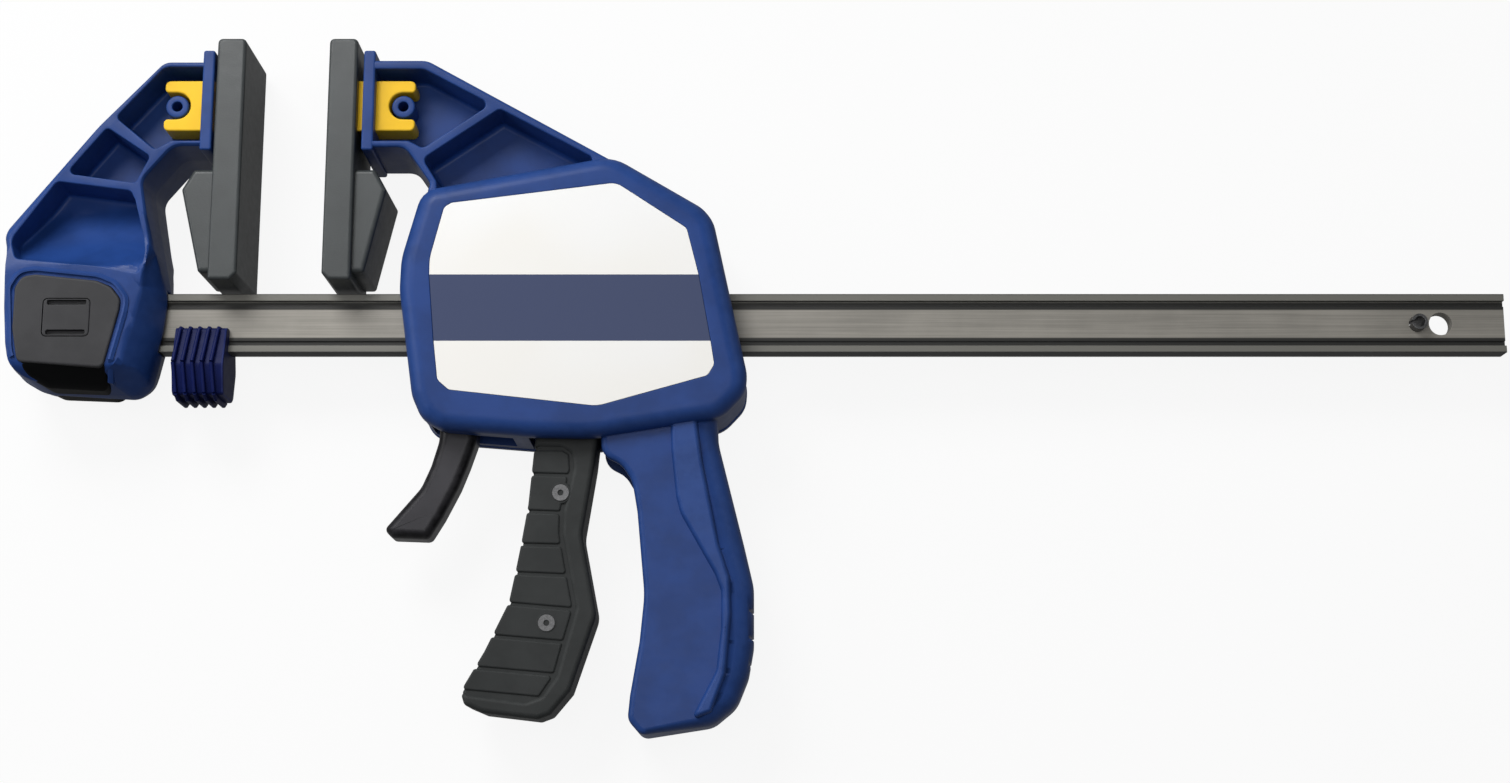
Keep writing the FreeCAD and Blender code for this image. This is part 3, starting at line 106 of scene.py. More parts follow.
class Wire:
    """A node's output whose arithmetic adds Math nodes to its tree."""

    def __init__(self, graph: "Graph", socket: bpy.types.NodeSocket) -> None:
        """Wrap a socket of a graph."""
        self.graph = graph
        self.socket = socket

    def _math(self, operation: str, left: object, right: object) -> "Wire":
        """Join two values with a Math node."""
        return self.graph.node("ShaderNodeMath", {"operation": operation}, {0: left, 1: right})

    def __add__(self, other: object) -> "Wire":
        """Add."""
        return self._math("ADD", self, other)

    __radd__ = __add__

    def __sub__(self, other: object) -> "Wire":
        """Take away."""
        return self._math("SUBTRACT", self, other)

    def __rsub__(self, other: object) -> "Wire":
        """Take this away from a number."""
        return self._math("SUBTRACT", other, self)

    def __mul__(self, other: object) -> "Wire":
        """Multiply."""
        return self._math("MULTIPLY", self, other)

    __rmul__ = __mul__

    def above(self, limit: object) -> "Wire":
        """1 where this is above a limit, else 0."""
        return self._math("GREATER_THAN", self, limit)

    def stepped(self, low: float, high: float) -> "Wire":
        """A smooth step from 0 at low to 1 at high."""
        sockets = {"Value": self, "From Min": low, "From Max": high}
        return self.graph.node("ShaderNodeMapRange", {"interpolation_type": "SMOOTHSTEP"}, sockets)


class Graph:
    """A node tree, with one way to add a node to it."""

    def __init__(self, tree: bpy.types.NodeTree) -> None:
        """Start on a tree."""
        self.tree = tree

    def node(self, kind: str, settings: dict[str, object] | None = None,
             sockets: dict[str | int, object] | None = None, output: str | int = 0) -> Wire:
        """Add a node.

        Args:
            kind: the node's type.
            settings: attributes, set before the sockets.
            sockets: a number, vector or Wire for each input, by name or place.
            output: the output that is returned.

        Returns:
            The chosen output.
        """
        node = self.tree.nodes.new(kind)
        for name, value in (settings or {}).items():
            setattr(node, name, value)
        for key, value in (sockets or {}).items():
            if isinstance(value, Wire):
                self.tree.links.new(value.socket, node.inputs[key])
            else:
                node.inputs[key].default_value = value
        return Wire(self, node.outputs[output] if node.outputs else None)


class SurfaceGraph(Graph):
    """The nodes of one material."""

    def __init__(self, name: str) -> None:
        """Start an empty material."""
        self.material = bpy.data.materials.new(name)
        self.material.use_nodes = True
        super().__init__(self.material.node_tree)
        self.tree.nodes.clear()
        self.spot = self.node("ShaderNodeTexCoord", output="Object")

    def stretched(self, scale: tuple[float, float, float]) -> Wire:
        """Object coordinates, scaled along each axis."""
        return self.node("ShaderNodeMapping", {"vector_type": "POINT"}, {"Vector": self.spot, "Scale": scale})

    def noise(self, size_mm: float, detail: float = 2.0, spot: Wire | None = None) -> Wire:
        """A soft noise from 0 to 1 whose blotches are about a size wide."""
        sockets = {"Vector": spot or self.spot, "Scale": 1 / (size_mm * MM), "Detail": detail,
                   "Roughness": NOISE_ROUGHNESS}
        return self.node("ShaderNodeTexNoise", None, sockets)

    def wear_and_light(self) -> Wire:
        """How much an edge takes its edge colour, from the mesh: wear on most finishes, painted shade on the
        lever and painted highlight on the clip.
        """
        return self.node("ShaderNodeAttribute", {"attribute_name": WEAR_AND_LIGHT}, output="Fac")

    def mix(self, share: object, first: object, second: object) -> Wire:
        """Blend two colours."""
        sockets = {0: share, 6: first, 7: second}
        return self.node("ShaderNodeMix", {"data_type": "RGBA"}, sockets, output=2)

    def bump(self, height: Wire, distance_mm: float, strength: float) -> Wire:
        """A normal that follows a height."""
        sockets = {"Height": height, "Distance": distance_mm * MM, "Strength": strength}
        return self.node("ShaderNodeBump", None, sockets)

    def close(self, sockets: dict[str | int, object]) -> bpy.types.Material:
        """End the material with a shader."""
        surface = self.node("ShaderNodeBsdfPrincipled", None, sockets)
        self.node("ShaderNodeOutputMaterial", None, {"Surface": surface})
        return self.material


@dataclass(frozen=True)
class Moulded:
    """A moulded plastic or rubber with fine grain, faint mottling and an edge colour: rubbed wear on most
    finishes, painted shade on the lever's rounded sides and painted highlight on the clip's ends.
    """

    name: str
    colour: tuple[float, float, float, float]
    # The edge colour: rubbed wear on most finishes, painted shade on the lever and painted highlight on the
    # clip.
    wear_and_light_colour: tuple[float, float, float, float]
    roughness: float = 0.42
    grain_mm: float = 0.45
    grain_depth_mm: float = 0.02
    mottle_mm: float = 14.0
    mottle: float = 0.12
    specular: float = 0.2
    wear_and_light_share: float = 0.3
    least_wear_and_light: float = 0.55
    scuff_mm: float = 3.4
    smear: float = 0.14
    rubbed_matt: float = 0.06
    tone_ramp: tuple[float, float] = (0.3, 0.7)
    scuff_ramp: tuple[float, float] = (0.36, 0.66)
    smear_share: float = 0.45
    smear_scale: tuple[float, float, float] = (1.0, 2.2, 1.4)
    relief: float = 0.7

    def material(self) -> bpy.types.Material:
        """Build the finish.

        Returns:
            The material.
        """
        graph = SurfaceGraph(self.name)
        blotch = graph.noise(self.mottle_mm, 3.0)
        dark = tuple(c * (1 - self.mottle) for c in self.colour[:3]) + (1.0,)
        light = tuple(c * (1 + self.mottle) for c in self.colour[:3]) + (1.0,)
        tone = graph.mix(blotch.stepped(*self.tone_ramp), dark, light)
        scuff = graph.noise(self.scuff_mm, 4.0).stepped(*self.scuff_ramp)
        # The edges' share of the edge colour: wear on most finishes, with painted shade on the lever and
        # painted highlight on the clip.
        wear_and_light_share = graph.wear_and_light() * (self.least_wear_and_light + scuff * (1 - self.least_wear_and_light))
        colour = graph.mix(wear_and_light_share * self.wear_and_light_share, tone, self.wear_and_light_colour)
        grain = graph.noise(self.grain_mm, 3.0)
        smear = graph.noise(self.mottle_mm * self.smear_share, 4.0, graph.stretched(self.smear_scale))
        return graph.close({
            "Base Color": colour,
            "Roughness": self.roughness + (smear - 0.5) * self.smear + wear_and_light_share * self.rubbed_matt,
            "Normal": graph.bump(grain, self.grain_depth_mm, self.relief),
            "Specular IOR Level": self.specular,
        })


@dataclass(frozen=True)
class Steel:
    """Drawn, stamped or turned steel, with lines along one axis."""

    name: str
    colour: tuple[float, float, float, float]
    dark: tuple[float, float, float, float]
    roughness: float = 0.38
    metallic: float = 0.85
    line_scale: tuple[float, float, float] = (0.012, 1.0, 1.0)
    line_mm: float = 0.5
    line_depth_mm: float = 0.006
    band_lines: float = 9
    stain_mm: float = 22.0
    shares: tuple[float, float, float] = (0.5, 0.3, 0.35)
    ramp: tuple[float, float] = (0.38, 0.78)
    band_gloss: float = 0.18
    stain_gloss: float = 0.12
    relief: float = 0.6

    def material(self) -> bpy.types.Material:
        """Build the finish.

        Returns:
            The material.
        """
        graph = SurfaceGraph(self.name)
        lines = graph.noise(self.line_mm, 5.0, graph.stretched(self.line_scale))
        bands = graph.noise(self.line_mm * self.band_lines, 3.0, graph.stretched(self.line_scale))
        stain = graph.noise(self.stain_mm, 4.0)
        line_share, band_share, stain_share = self.shares
        share = (lines * line_share + bands * band_share + stain * stain_share).stepped(*self.ramp)
        return graph.close({
            "Base Color": self.tone(graph, graph.mix(share, self.dark, self.colour)),
            "Roughness": self.roughness + (bands - 0.5) * self.band_gloss + (stain - 0.5) * self.stain_gloss,
            "Metallic": self.metallic,
            "Normal": graph.bump(lines, self.line_depth_mm, self.relief),
        })

    def tone(self, graph: SurfaceGraph, colour: Wire) -> Wire:
        """The colour, where it changes over the piece."""
        return colour


@dataclass(frozen=True)
class RolledBar(Steel):
    """The bar's steel, with darker flanges, and painted shade, with some mill scale, in its grooves and on
    its narrow edges.
    """

    flange: tuple[float, float, float, float] = srgb(108, 107, 101)
    # The near-black colour painted into the grooves and onto the narrow edges as shade, with some mill scale.
    scale: tuple[float, float, float, float] = srgb(30, 30, 28)
    groove: tuple[float, float] = (5.0, 8.5)
    edge: float = 10.5
    fade: float = 0.6

    def tone(self, graph: SurfaceGraph, colour: Wire) -> Wire:
        """The colour, by the distance from the bar's axis, with painted shade in the grooves and on the
        narrow edges.

        Args:
            graph: the material's nodes.
            colour: the web's colour.

        Returns:
            The colour all over the bar.
        """
        height = graph.node("ShaderNodeSeparateXYZ", None, {0: graph.spot}, output="Y")
        off = graph.node("ShaderNodeMath", {"operation": "ABSOLUTE"}, {0: height})
        low, high = self.groove
        outer = off.stepped((high - self.fade) * MM, high * MM)
        # The grooves and the narrow edges take the painted shade.
        groove = off.stepped(low * MM, (low + self.fade) * MM) * (1 - outer)
        edge = off.stepped(self.edge * MM, (self.edge + self.fade) * MM)
        return graph.mix(groove + edge, graph.mix(outer, colour, self.flange), self.scale)


@dataclass(frozen=True)
class PrintedFilm:
    """A bare pale label with one plain band across it."""

    name: str
    paper: tuple[float, float, float, float]
    warm: tuple[float, float, float, float]
    band: tuple[float, float, float, float]
    band_low: float
    band_high: float
    warm_mm: float = 60.0
    scuff_mm: float = 7.0
    peel_mm: float = 1.4
    peel_depth_mm: float = 0.012
    relief: float = 0.5
    roughness: float = 0.3
    scuff: float = 0.14
    scuff_scale: tuple[float, float, float] = (1.0, 0.35, 1.0)
    warm_ramp: tuple[float, float] = (0.35, 0.65)
    specular: float = 0.2

    def material(self) -> bpy.types.Material:
        """Build the finish.

        Returns:
            The material.
        """
        graph = SurfaceGraph(self.name)
        height = graph.node("ShaderNodeSeparateXYZ", None, {0: graph.spot}, output="Y")
        inside = height.above(self.band_low * MM) * (1 - height.above(self.band_high * MM))
        paper = graph.mix(graph.noise(self.warm_mm, 1.0).stepped(*self.warm_ramp), self.paper, self.warm)
        scuff = graph.noise(self.scuff_mm, 4.0, graph.stretched(self.scuff_scale))
        return graph.close({
            "Base Color": graph.mix(inside, paper, self.band),
            "Roughness": self.roughness + scuff * self.scuff,
            "Normal": graph.bump(graph.noise(self.peel_mm, 2.0), self.peel_depth_mm, self.relief),
            "Specular IOR Level": self.specular,
        })


class Slot(Enum):
    """The finishes of the record, each with the way it looks."""

    # The bar: darker flanges, and painted shade in its grooves and along its narrow edges.
    bar_steel = RolledBar("bar_steel", srgb(150, 146, 138), srgb(122, 119, 112), 0.5, 0.3)
    pin_steel = Steel("pin_steel", srgb(104, 104, 105), srgb(66, 66, 67), 0.36, 0.8, (1.0, 1.0, 0.05), 0.4)
    plate_steel = Steel("plate_steel", srgb(120, 120, 122), srgb(78, 78, 82), 0.42, 0.8, (1.0, 0.2, 1.0), 0.6)
    spring_steel = Steel("spring_steel", srgb(150, 150, 150), srgb(98, 98, 100), 0.34, 0.9,
                         (1.0, 1.0, 1.0), 0.8)
    blue_plastic = Moulded("blue_plastic", srgb(31, 62, 124), srgb(62, 92, 156), 0.38)
    # The clip's rounded ends take a light edge colour as a painted highlight.
    clip_plastic = Moulded("clip_plastic", srgb(13, 24, 76), srgb(80, 92, 156), 0.45, wear_and_light_share=0.6, specular=0.1)
    yellow_plastic = Moulded("yellow_plastic", srgb(246, 196, 30), srgb(255, 222, 100), 0.38, mottle=0.05)
    pad_rubber = Moulded("pad_rubber", srgb(46, 51, 52), srgb(80, 84, 85), 0.42, 0.6, 0.04, specular=0.5)
    boot_rubber = Moulded("boot_rubber", srgb(9, 10, 11), srgb(22, 22, 24), 0.55, 0.5, 0.04, specular=0.06)
    button_plastic = Moulded("button_plastic", srgb(56, 56, 58), srgb(88, 88, 92), 0.5, 0.4, 0.03)
    trigger_plastic = Moulded("trigger_plastic", srgb(48, 50, 50), srgb(78, 80, 80), 0.5, 0.4, 0.035,
                              specular=0.16)
    # The lever's rounded sides are painted near-black as shade, against its grey face.
    lever_plastic = Moulded("lever_plastic", srgb(56, 55, 59), srgb(9, 9, 11), 0.34, 0.6, 0.012, wear_and_light_share=0.95)
    label_white = PrintedFilm("label_white", srgb(252, 252, 251), srgb(249, 247, 242), srgb(62, 72, 104),
                              -10.8, 14.0)


MATERIALS: dict[Slot, bpy.types.Material] = {slot: slot.value.material() for slot in Slot}


@dataclass(frozen=True)
class Outline:
    """A closed outline, counter-clockwise, with a rounding radius at each corner."""

    corners: tuple[Point, ...]
    radii: tuple[float, ...]
    steps: int = 5

    @staticmethod
    def of(corners: Sequence[Point], radius: float = 0.0, special: dict[int, float] | None = None,
           steps: int = 5) -> "Outline":
        """An outline from corners in either direction.

        Args:
            corners: the corners.
            radius: the rounding of every corner; zero keeps it sharp.
            special: other radii, by the corner's place in the list.
            steps: how many edges an arc has.

        Returns:
            The outline.
        """
        corners = list(corners)
        radii = [(special or {}).get(i, radius) for i in range(len(corners))]
        following = corners[1:] + corners[:1]
        if sum(ax * by - bx * ay for (ax, ay), (bx, by) in zip(corners, following)) < 0:
            corners.reverse()
            radii.reverse()
        return Outline(tuple(corners), tuple(radii), steps)

    @staticmethod
    def circle(x: float, y: float, radius: float, count: int = 28) -> "Outline":
        """A circle with a number of sides."""
        turns = [2 * math.pi * i / count for i in range(count)]
        return Outline.of([(x + radius * math.cos(t), y + radius * math.sin(t)) for t in turns])

    @staticmethod
    def box(left: float, right: float, low: float, high: float, radius: float = 0.0,
            steps: int = 5) -> "Outline":
        """An upright rectangle with four like corners."""
        return Outline.of([(left, low), (right, low), (right, high), (left, high)], radius, steps=steps)

    def inset(self, distance: float) -> "Outline":
        """Move the outline in or out.

        Args:
            distance: how far it moves in, or out if it is negative.

        Returns:
            The moved outline.
        """
        corners, radii = [], []
        for i, corner in enumerate(self.corners):
            here = Vector(corner)
            come = (here - Vector(self.corners[i - 1])).normalized()
            leave = (Vector(self.corners[(i + 1) % len(self.corners)]) - here).normalized()
            side_a, side_b = Vector((-come.y, come.x)), Vector((-leave.y, leave.x))
            spot = here + (side_a + side_b) * (distance / (1 + side_a.dot(side_b)))
            convex = come.x * leave.y - come.y * leave.x > 0
            radius = self.radii[i] + (-distance if convex else distance)
            corners.append((spot.x, spot.y))
            radii.append(max(radius, LEAST_RADIUS) if self.radii[i] > 0 else 0.0)
        return Outline(tuple(corners), tuple(radii), self.steps)

    def moved(self, places: dict[int, Point]) -> "Outline":
        """The outline with some corners put elsewhere."""
        corners = tuple(places.get(i, corner) for i, corner in enumerate(self.corners))
        return Outline(corners, self.radii, self.steps)

    def loop(self) -> list[Vector]:
        """Follow the outline, with each rounded corner as an arc.

        Returns:
            Its points.
        """
        points = []
        for i, corner in enumerate(self.corners):
            here, radius = Vector(corner), self.radii[i]
            if radius <= 0:
                points.append(here)
                continue
            back = Vector(self.corners[i - 1]) - here
            ahead = Vector(self.corners[(i + 1) % len(self.corners)]) - here
            half = back.angle(ahead) / 2
            reach = min(radius / math.tan(half), ARC_REACH * min(back.length, ahead.length))
            radius = reach * math.tan(half)
            start = here + back.normalized() * reach
            middle = back.normalized() + ahead.normalized()
            centre = here + middle.normalized() * (radius / math.sin(half))
            arm = start - centre
            sweep = math.copysign(math.pi - 2 * half, ahead.x * back.y - ahead.y * back.x)
            for k in range(self.steps + 1):
                points.append(centre + Matrix.Rotation(sweep * k / self.steps, 2) @ arm)
        return points


@dataclass(frozen=True)
class Round:
    """An edge's rounding: how far it comes in and drops, its steps, and how much it is a plain chamfer."""

    width: float
    drop: float
    steps: int = 4
    plain: float = 0.0


@dataclass(frozen=True)
class Pocket:
    """A hollow in a slab's faces, with a rounded lip, leaning walls and a filleted floor."""

    outline: Outline
    floor: Level
    lip: Round = Round(0.9, 0.9, 3)
    root: float = 1.4
    draft: float = 0.5
    sides: tuple[int, ...] = (1, -1)
    rings: int = 0


# The barely broken edges of tools that cut, and of faces that lie on others.
NICK = Round(0.1, 0.1, 1)
FINE_NICK = Round(0.05, 0.05, 1)
Ring = list[bmesh.types.BMVert]


class Shell:
    """A mesh under construction, made of rings, skins between them and caps."""

    def __init__(self) -> None:
        """Start empty."""
        self.mesh = bmesh.new()
        self.wear_and_light = self.mesh.verts.layers.float.new(WEAR_AND_LIGHT)

    def ring(self, spots: Iterable[Sequence[float]], wear_and_light: float = 0.0) -> Ring:
        """Add a ring of vertices.

        Args:
            spots: their places.
            wear_and_light: how much they take the edge colour, which is wear on most finishes, painted shade
                on the lever and painted highlight on the clip.

        Returns:
            The vertices.
        """
        ring = []
        for spot in spots:
            vert = self.mesh.verts.new(spot)
            vert[self.wear_and_light] = wear_and_light
            ring.append(vert)
        return ring

    def skin(self, rings: Sequence[Ring], closed: bool = False) -> None:
        """Join each ring to the next.

        Args:
            rings: the rings, each with as many vertices.
            closed: whether the last ring joins the first.
        """
        pairs = list(zip(rings, rings[1:])) + ([(rings[-1], rings[0])] if closed else [])
        for low, high in pairs:
            for i in range(len(low)):
                j = (i + 1) % len(low)
                self.mesh.faces.new((low[i], low[j], high[j], high[i]))

    def cap(self, ring: Ring) -> None:
        """Close a ring with one face."""
        self.mesh.faces.new(ring)

    def fill(self, rings: Sequence[Ring]) -> None:
        """Close an outer ring that has other rings in it.

        Args:
            rings: the outer ring and the others.
        """
        if len(rings) == 1:
            self.cap(rings[0])
            return
        edges = []
        for ring in rings:
            for i in range(len(ring)):
                pair = (ring[i], ring[(i + 1) % len(ring)])
                edges.append(self.mesh.edges.get(pair) or self.mesh.edges.new(pair))
        bmesh.ops.triangle_fill(self.mesh, use_beauty=True, use_dissolve=False, edges=edges)

    def slab(self, outline: Outline, low: float, high: float, edge: Round, foot: Round | None = None,
             pockets: Sequence[Pocket] = (), inner: Outline | None = None, wall: Level | None = None,
             lean: float = 0.0) -> None:
        """Add a slab with rounded edges.

        Args:
            outline: its outline.
            low: the level of its far face.
            high: the level of its near face.
            edge: the rounding of the near edge.
            foot: the rounding of the far edge; the near one's if left out.
            pockets: hollows in its faces.
            inner: the outline of the near face, where it isn't the outline come in by the edge's width.
            wall: the level where the near edge's rounding starts, where it isn't the face's less the drop.
            lean: how far the walls come in from the middle to each rounding.
        """
        foot = foot or edge
        face = inner or outline.inset(edge.width)
        back = inner if inner and foot == edge else outline.inset(foot.width)
        start: Level = high - edge.drop if wall is None else wall
        same = low == -high and foot == edge
        upper = outline.inset(lean) if lean else outline
        near = self._shoulder(upper, face, start, high, edge)
        if same:
            far = self._shoulder(upper, back, start, high, edge, -1)
        else:
            far = self._shoulder(upper, back, low + foot.drop, low, foot)
        middle = []
        if lean:
            seam = outline.loop()
            middle = [self.ring(((p.x, p.y, SEAM_HALF * side) for p in seam), 0.5) for side in (-1, 1)]
        self.skin(list(reversed(far)) + middle + near)
        near_rings, far_rings = [near[-1]], [far[-1]]
        for pocket in pockets:
            if 1 in pocket.sides:
                near_rings.append(self._pocket(pocket, high, 1))
            if -1 in pocket.sides:
                far_rings.append(self._pocket(pocket, -low, -1))
        self.fill(near_rings)
        self.fill(far_rings)

    def layer(self, outline: Outline, deep: float, top: float, side: int, crown: Round, foot: Round,
              pockets: Sequence[Pocket] = ()) -> None:
        """Add a slab on one side of the part.

        Args:
            outline: its outline.
            deep: how far its inner face is from the middle.
            top: how far its outer face is.
            side: 1 in front, -1 behind.
            crown: the rounding of the outer edge.
            foot: the rounding of the inner edge.
            pockets: hollows in its faces.
        """
        low, high = sorted((side * deep, side * top))
        near, far = (crown, foot) if side > 0 else (foot, crown)
        self.slab(outline, low, high, near, far, pockets)

    def _shoulder(self, outer: Outline, inner: Outline, wall: Level, face: Level, edge: Round,
                  side: int = 1) -> list[Ring]:
        """Add the rings from a wall over a rounded edge to a face.

        Args:
            outer: the wall's outline.
            inner: the face's outline.
            wall: the level where the rounding starts.
            face: the face's level.
            edge: the rounding.
            side: 1, or -1 to turn the levels over.

        Returns:
            The rings, from the wall on.
        """
        rings = []
        outside, inside = outer.loop(), inner.loop()
        for k in range(edge.steps + 1):
            turn = math.pi / 2 * k / edge.steps
            plain = edge.plain * k / edge.steps
            along = (1 - math.cos(turn)) * (1 - edge.plain) + plain
            up = math.sin(turn) * (1 - edge.plain) + plain
            spots = []
            for a, b in zip(outside, inside):
                spot = a.lerp(b, along)
                start = at(wall, spot.x, spot.y)
                spots.append((spot.x, spot.y, side * (start + (at(face, spot.x, spot.y) - start) * up)))
            rings.append(self.ring(spots, math.sin(2 * turn)))
        return rings

    def _pocket(self, pocket: Pocket, face: float, side: int) -> Ring:
        """Sink a pocket.

        Args:
            pocket: the pocket.
            face: the level of the face round it.
            side: 1 in front, -1 behind.

        Returns:
            The ring at its mouth.
        """
        outside = pocket.outline.inset(-pocket.lip.width).loop()
        inside = pocket.outline.inset(pocket.draft + pocket.root).loop()
        if pocket.rings:
            outside, inside = self._divided(outside, inside)
        width = pocket.lip.width + pocket.draft + pocket.root
        steps = pocket.lip.steps
        profile = [(pocket.lip.width * math.sin(t), pocket.lip.drop * (1 - math.cos(t)), 0.0, math.sin(2 * t))
                   for t in (math.pi / 2 * k / steps for k in range(steps + 1))]
        wall = pocket.lip.width + pocket.draft
        profile += [(wall + pocket.root * (1 - math.cos(t)), 0.0, pocket.root * (1 - math.sin(t)), 0.0)
                    for t in (math.pi / 2 * k / steps for k in range(steps + 1))]
        rings = []
        for come_in, drop, rise, wear_and_light in profile:
            spots = []
            for a, b in zip(outside, inside):
                spot = a.lerp(b, come_in / width)
                floor = at(pocket.floor, spot.x, spot.y)
                depth = face - floor
                most = max(depth * POCKET_SHARE, LEAST_DEPTH)
                if rise or come_in > wall + TINY:
                    level = floor + rise * min(1.0, most / max(pocket.root, TINY))
                else:
                    level = face - drop * min(1.0, most / max(pocket.lip.drop, TINY))
                spots.append((spot.x, spot.y, side * level))
            rings.append(self.ring(spots, wear_and_light))
        middle = sum(inside, Vector((0.0, 0.0))) / len(inside)
        for k in range(1, pocket.rings + 1):
            flat = [spot.lerp(middle, k / (pocket.rings + 1)) for spot in inside]
            rings.append(self.ring((s.x, s.y, side * at(pocket.floor, s.x, s.y)) for s in flat))
        self.skin(rings)
        self.cap(rings[-1])
        return rings[0]

    @staticmethod
    def _divided(outside: list[Vector], inside: list[Vector]) -> tuple[list[Vector], list[Vector]]:
        """Add the same points along the long runs of two loops.

        Args:
            outside: the loop whose runs are measured.
            inside: the other loop.

        Returns:
            Both loops.
        """
        loops: tuple[list[Vector], list[Vector]] = ([], [])
        for i in range(len(outside)):
            j = (i + 1) % len(outside)
            count = max(1, round((outside[j] - outside[i]).length / LONG_RUN))
            for k in range(count):
                loops[0].append(outside[i].lerp(outside[j], k / count))
                loops[1].append(inside[i].lerp(inside[j], k / count))
        return loops

    def slice(self, heights: Iterable[float]) -> None:
        """Cut the faces level with some heights, so that a bend can follow.

        Args:
            heights: the places of the cuts along Y.
        """
        for height in heights:
            everything = self.mesh.verts[:] + self.mesh.edges[:] + self.mesh.faces[:]
            bmesh.ops.bisect_plane(self.mesh, geom=everything, plane_co=(0, height, 0), plane_no=(0, 1, 0),
                                   dist=ON_SLICE)

    def bend(self, shape: Callable[[Vector], Vector]) -> None:
        """Move every vertex by a rule."""
        for vert in self.mesh.verts:
            vert.co = shape(vert.co)

    def piece(self, name: str, sharp: float = EDGE_ANGLE) -> bpy.types.Object:
        """Close the mesh and make it an object, in metres.

        Args:
            name: the object's name.
            sharp: the angle from which its edges stay sharp.

        Returns:
            The object.
        """
        bmesh.ops.remove_doubles(self.mesh, verts=self.mesh.verts, dist=MELT)
        bmesh.ops.recalc_face_normals(self.mesh, faces=self.mesh.faces)
        self.mesh.transform(Matrix.Scale(MM, 4))
        data = bpy.data.meshes.new(name)
        self.mesh.to_mesh(data)
        self.mesh.free()
        return evened(linked(name, data), sharp)


def linked(name: str, data: bpy.types.ID) -> bpy.types.Object:
    """A new object in the scene."""
    made = bpy.data.objects.new(name, data)
    bpy.context.scene.collection.objects.link(made)
    return made


def evened(piece: bpy.types.Object, sharp: float) -> bpy.types.Object:
    """Shade a piece smoothly, led by its flat faces.

    Args:
        piece: the piece.
        sharp: the angle from which its edges stay sharp.

    Returns:
        The piece.
    """
    piece.data.shade_smooth()
    piece.data.set_sharp_from_angle(angle=math.radians(sharp))
    even = piece.modifiers.new("even", "WEIGHTED_NORMAL")
    even.keep_sharp = True
    return settled(piece)


def settled(piece: bpy.types.Object) -> bpy.types.Object:
    """Turn an object's modifiers into plain mesh."""
    result = bpy.data.meshes.new_from_object(piece.evaluated_get(bpy.context.evaluated_depsgraph_get()))
    piece.modifiers.clear()
    piece.data = result
    return piece


def carved(piece: bpy.types.Object, tool: bpy.types.Object, sharp: float = EDGE_ANGLE,
           operation: str = "DIFFERENCE") -> bpy.types.Object:
    """Cut a piece with another, or join them.

    Args:
        piece: the piece.
        tool: the other one, which is used up.
        sharp: the angle from which edges stay sharp.
        operation: what the Boolean modifier does.

    Returns:
        The piece.
    """
    change = piece.modifiers.new("carve", "BOOLEAN")
    change.operation = operation
    change.solver = "EXACT"
    change.object = tool
    settled(piece)
    bpy.data.objects.remove(tool)
    return evened(piece, sharp)


def cut(piece: bpy.types.Object, outline: Outline, low: float, high: float, edge: Round,
        sharp: float = EDGE_ANGLE) -> None:
    """Cut a slab out of a piece.

    Args:
        piece: the piece.
        outline: the slab's outline.
        low: the level of its far face.
        high: the level of its near face.
        edge: the rounding of its edges.
        sharp: the angle from which edges stay sharp.
    """
    tool = Shell()
    tool.slab(outline, low, high, edge)
    carved(piece, tool.piece("tool"), sharp)


def softened(node: str, width: float, name: str) -> bpy.types.Object:
    """Copy a node and round its edges over.

    Args:
        node: the node.
        width: the rounding.
        name: the copy's name.

    Returns:
        The copy.
    """
    mesh = bmesh.new()
    mesh.from_mesh(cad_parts[node].data)
    bmesh.ops.remove_doubles(mesh, verts=mesh.verts, dist=NODE_MELT)
    bmesh.ops.dissolve_limit(mesh, angle_limit=math.radians(FLAT_ANGLE), verts=mesh.verts, edges=mesh.edges)
    data = bpy.data.meshes.new(name)
    mesh.to_mesh(data)
    mesh.free()
    piece = linked(name, data)
    bevel = piece.modifiers.new("soften", "BEVEL")
    bevel.width = width * MM
    bevel.segments = 2
    bevel.limit_method = "ANGLE"
    bevel.angle_limit = math.radians(SOFT_ANGLE)
    return evened(settled(piece), NODE_SHARP)


def dress(piece: bpy.types.Object, slot: Slot, body: str, *nodes: str) -> None:
    """Give a piece its finish and body, and the nodes that it stands for.

    Args:
        piece: the piece.
        slot: its finish.
        body: the body that it rides on.
        nodes: the nodes that it replaces.
    """
    piece.data.materials.clear()
    piece.data.materials.append(MATERIALS[slot])
    if nodes:
        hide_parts(*nodes)
    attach(piece, body)
    log.info("%s: %d faces, rides on %s", piece.name, len(piece.data.polygons), body)


def paint(node: str, slot: Slot) -> None:
    """Give a node that stays its finish.

    Args:
        node: the node.
        slot: its finish.
    """
    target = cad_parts[node]
    for seat in target.material_slots:
        seat.material = MATERIALS[slot]
    if not target.material_slots:
        target.data.materials.append(MATERIALS[slot])
    log.info("%s keeps its mesh", node)


@dataclass
class Bar:
    """The steel bar and its stop pin."""

    soft: float = 0.35
    pin_soft: float = 0.25

    def build(self) -> None:
        """Make and dress the bar and its pin."""
        dress(softened("bar", self.soft, "steel_bar"), Slot.bar_steel, "bar_body", "bar")
        dress(softened("stop_pin", self.pin_soft, "slit_pin"), Slot.pin_steel, "bar_body", "stop_pin")


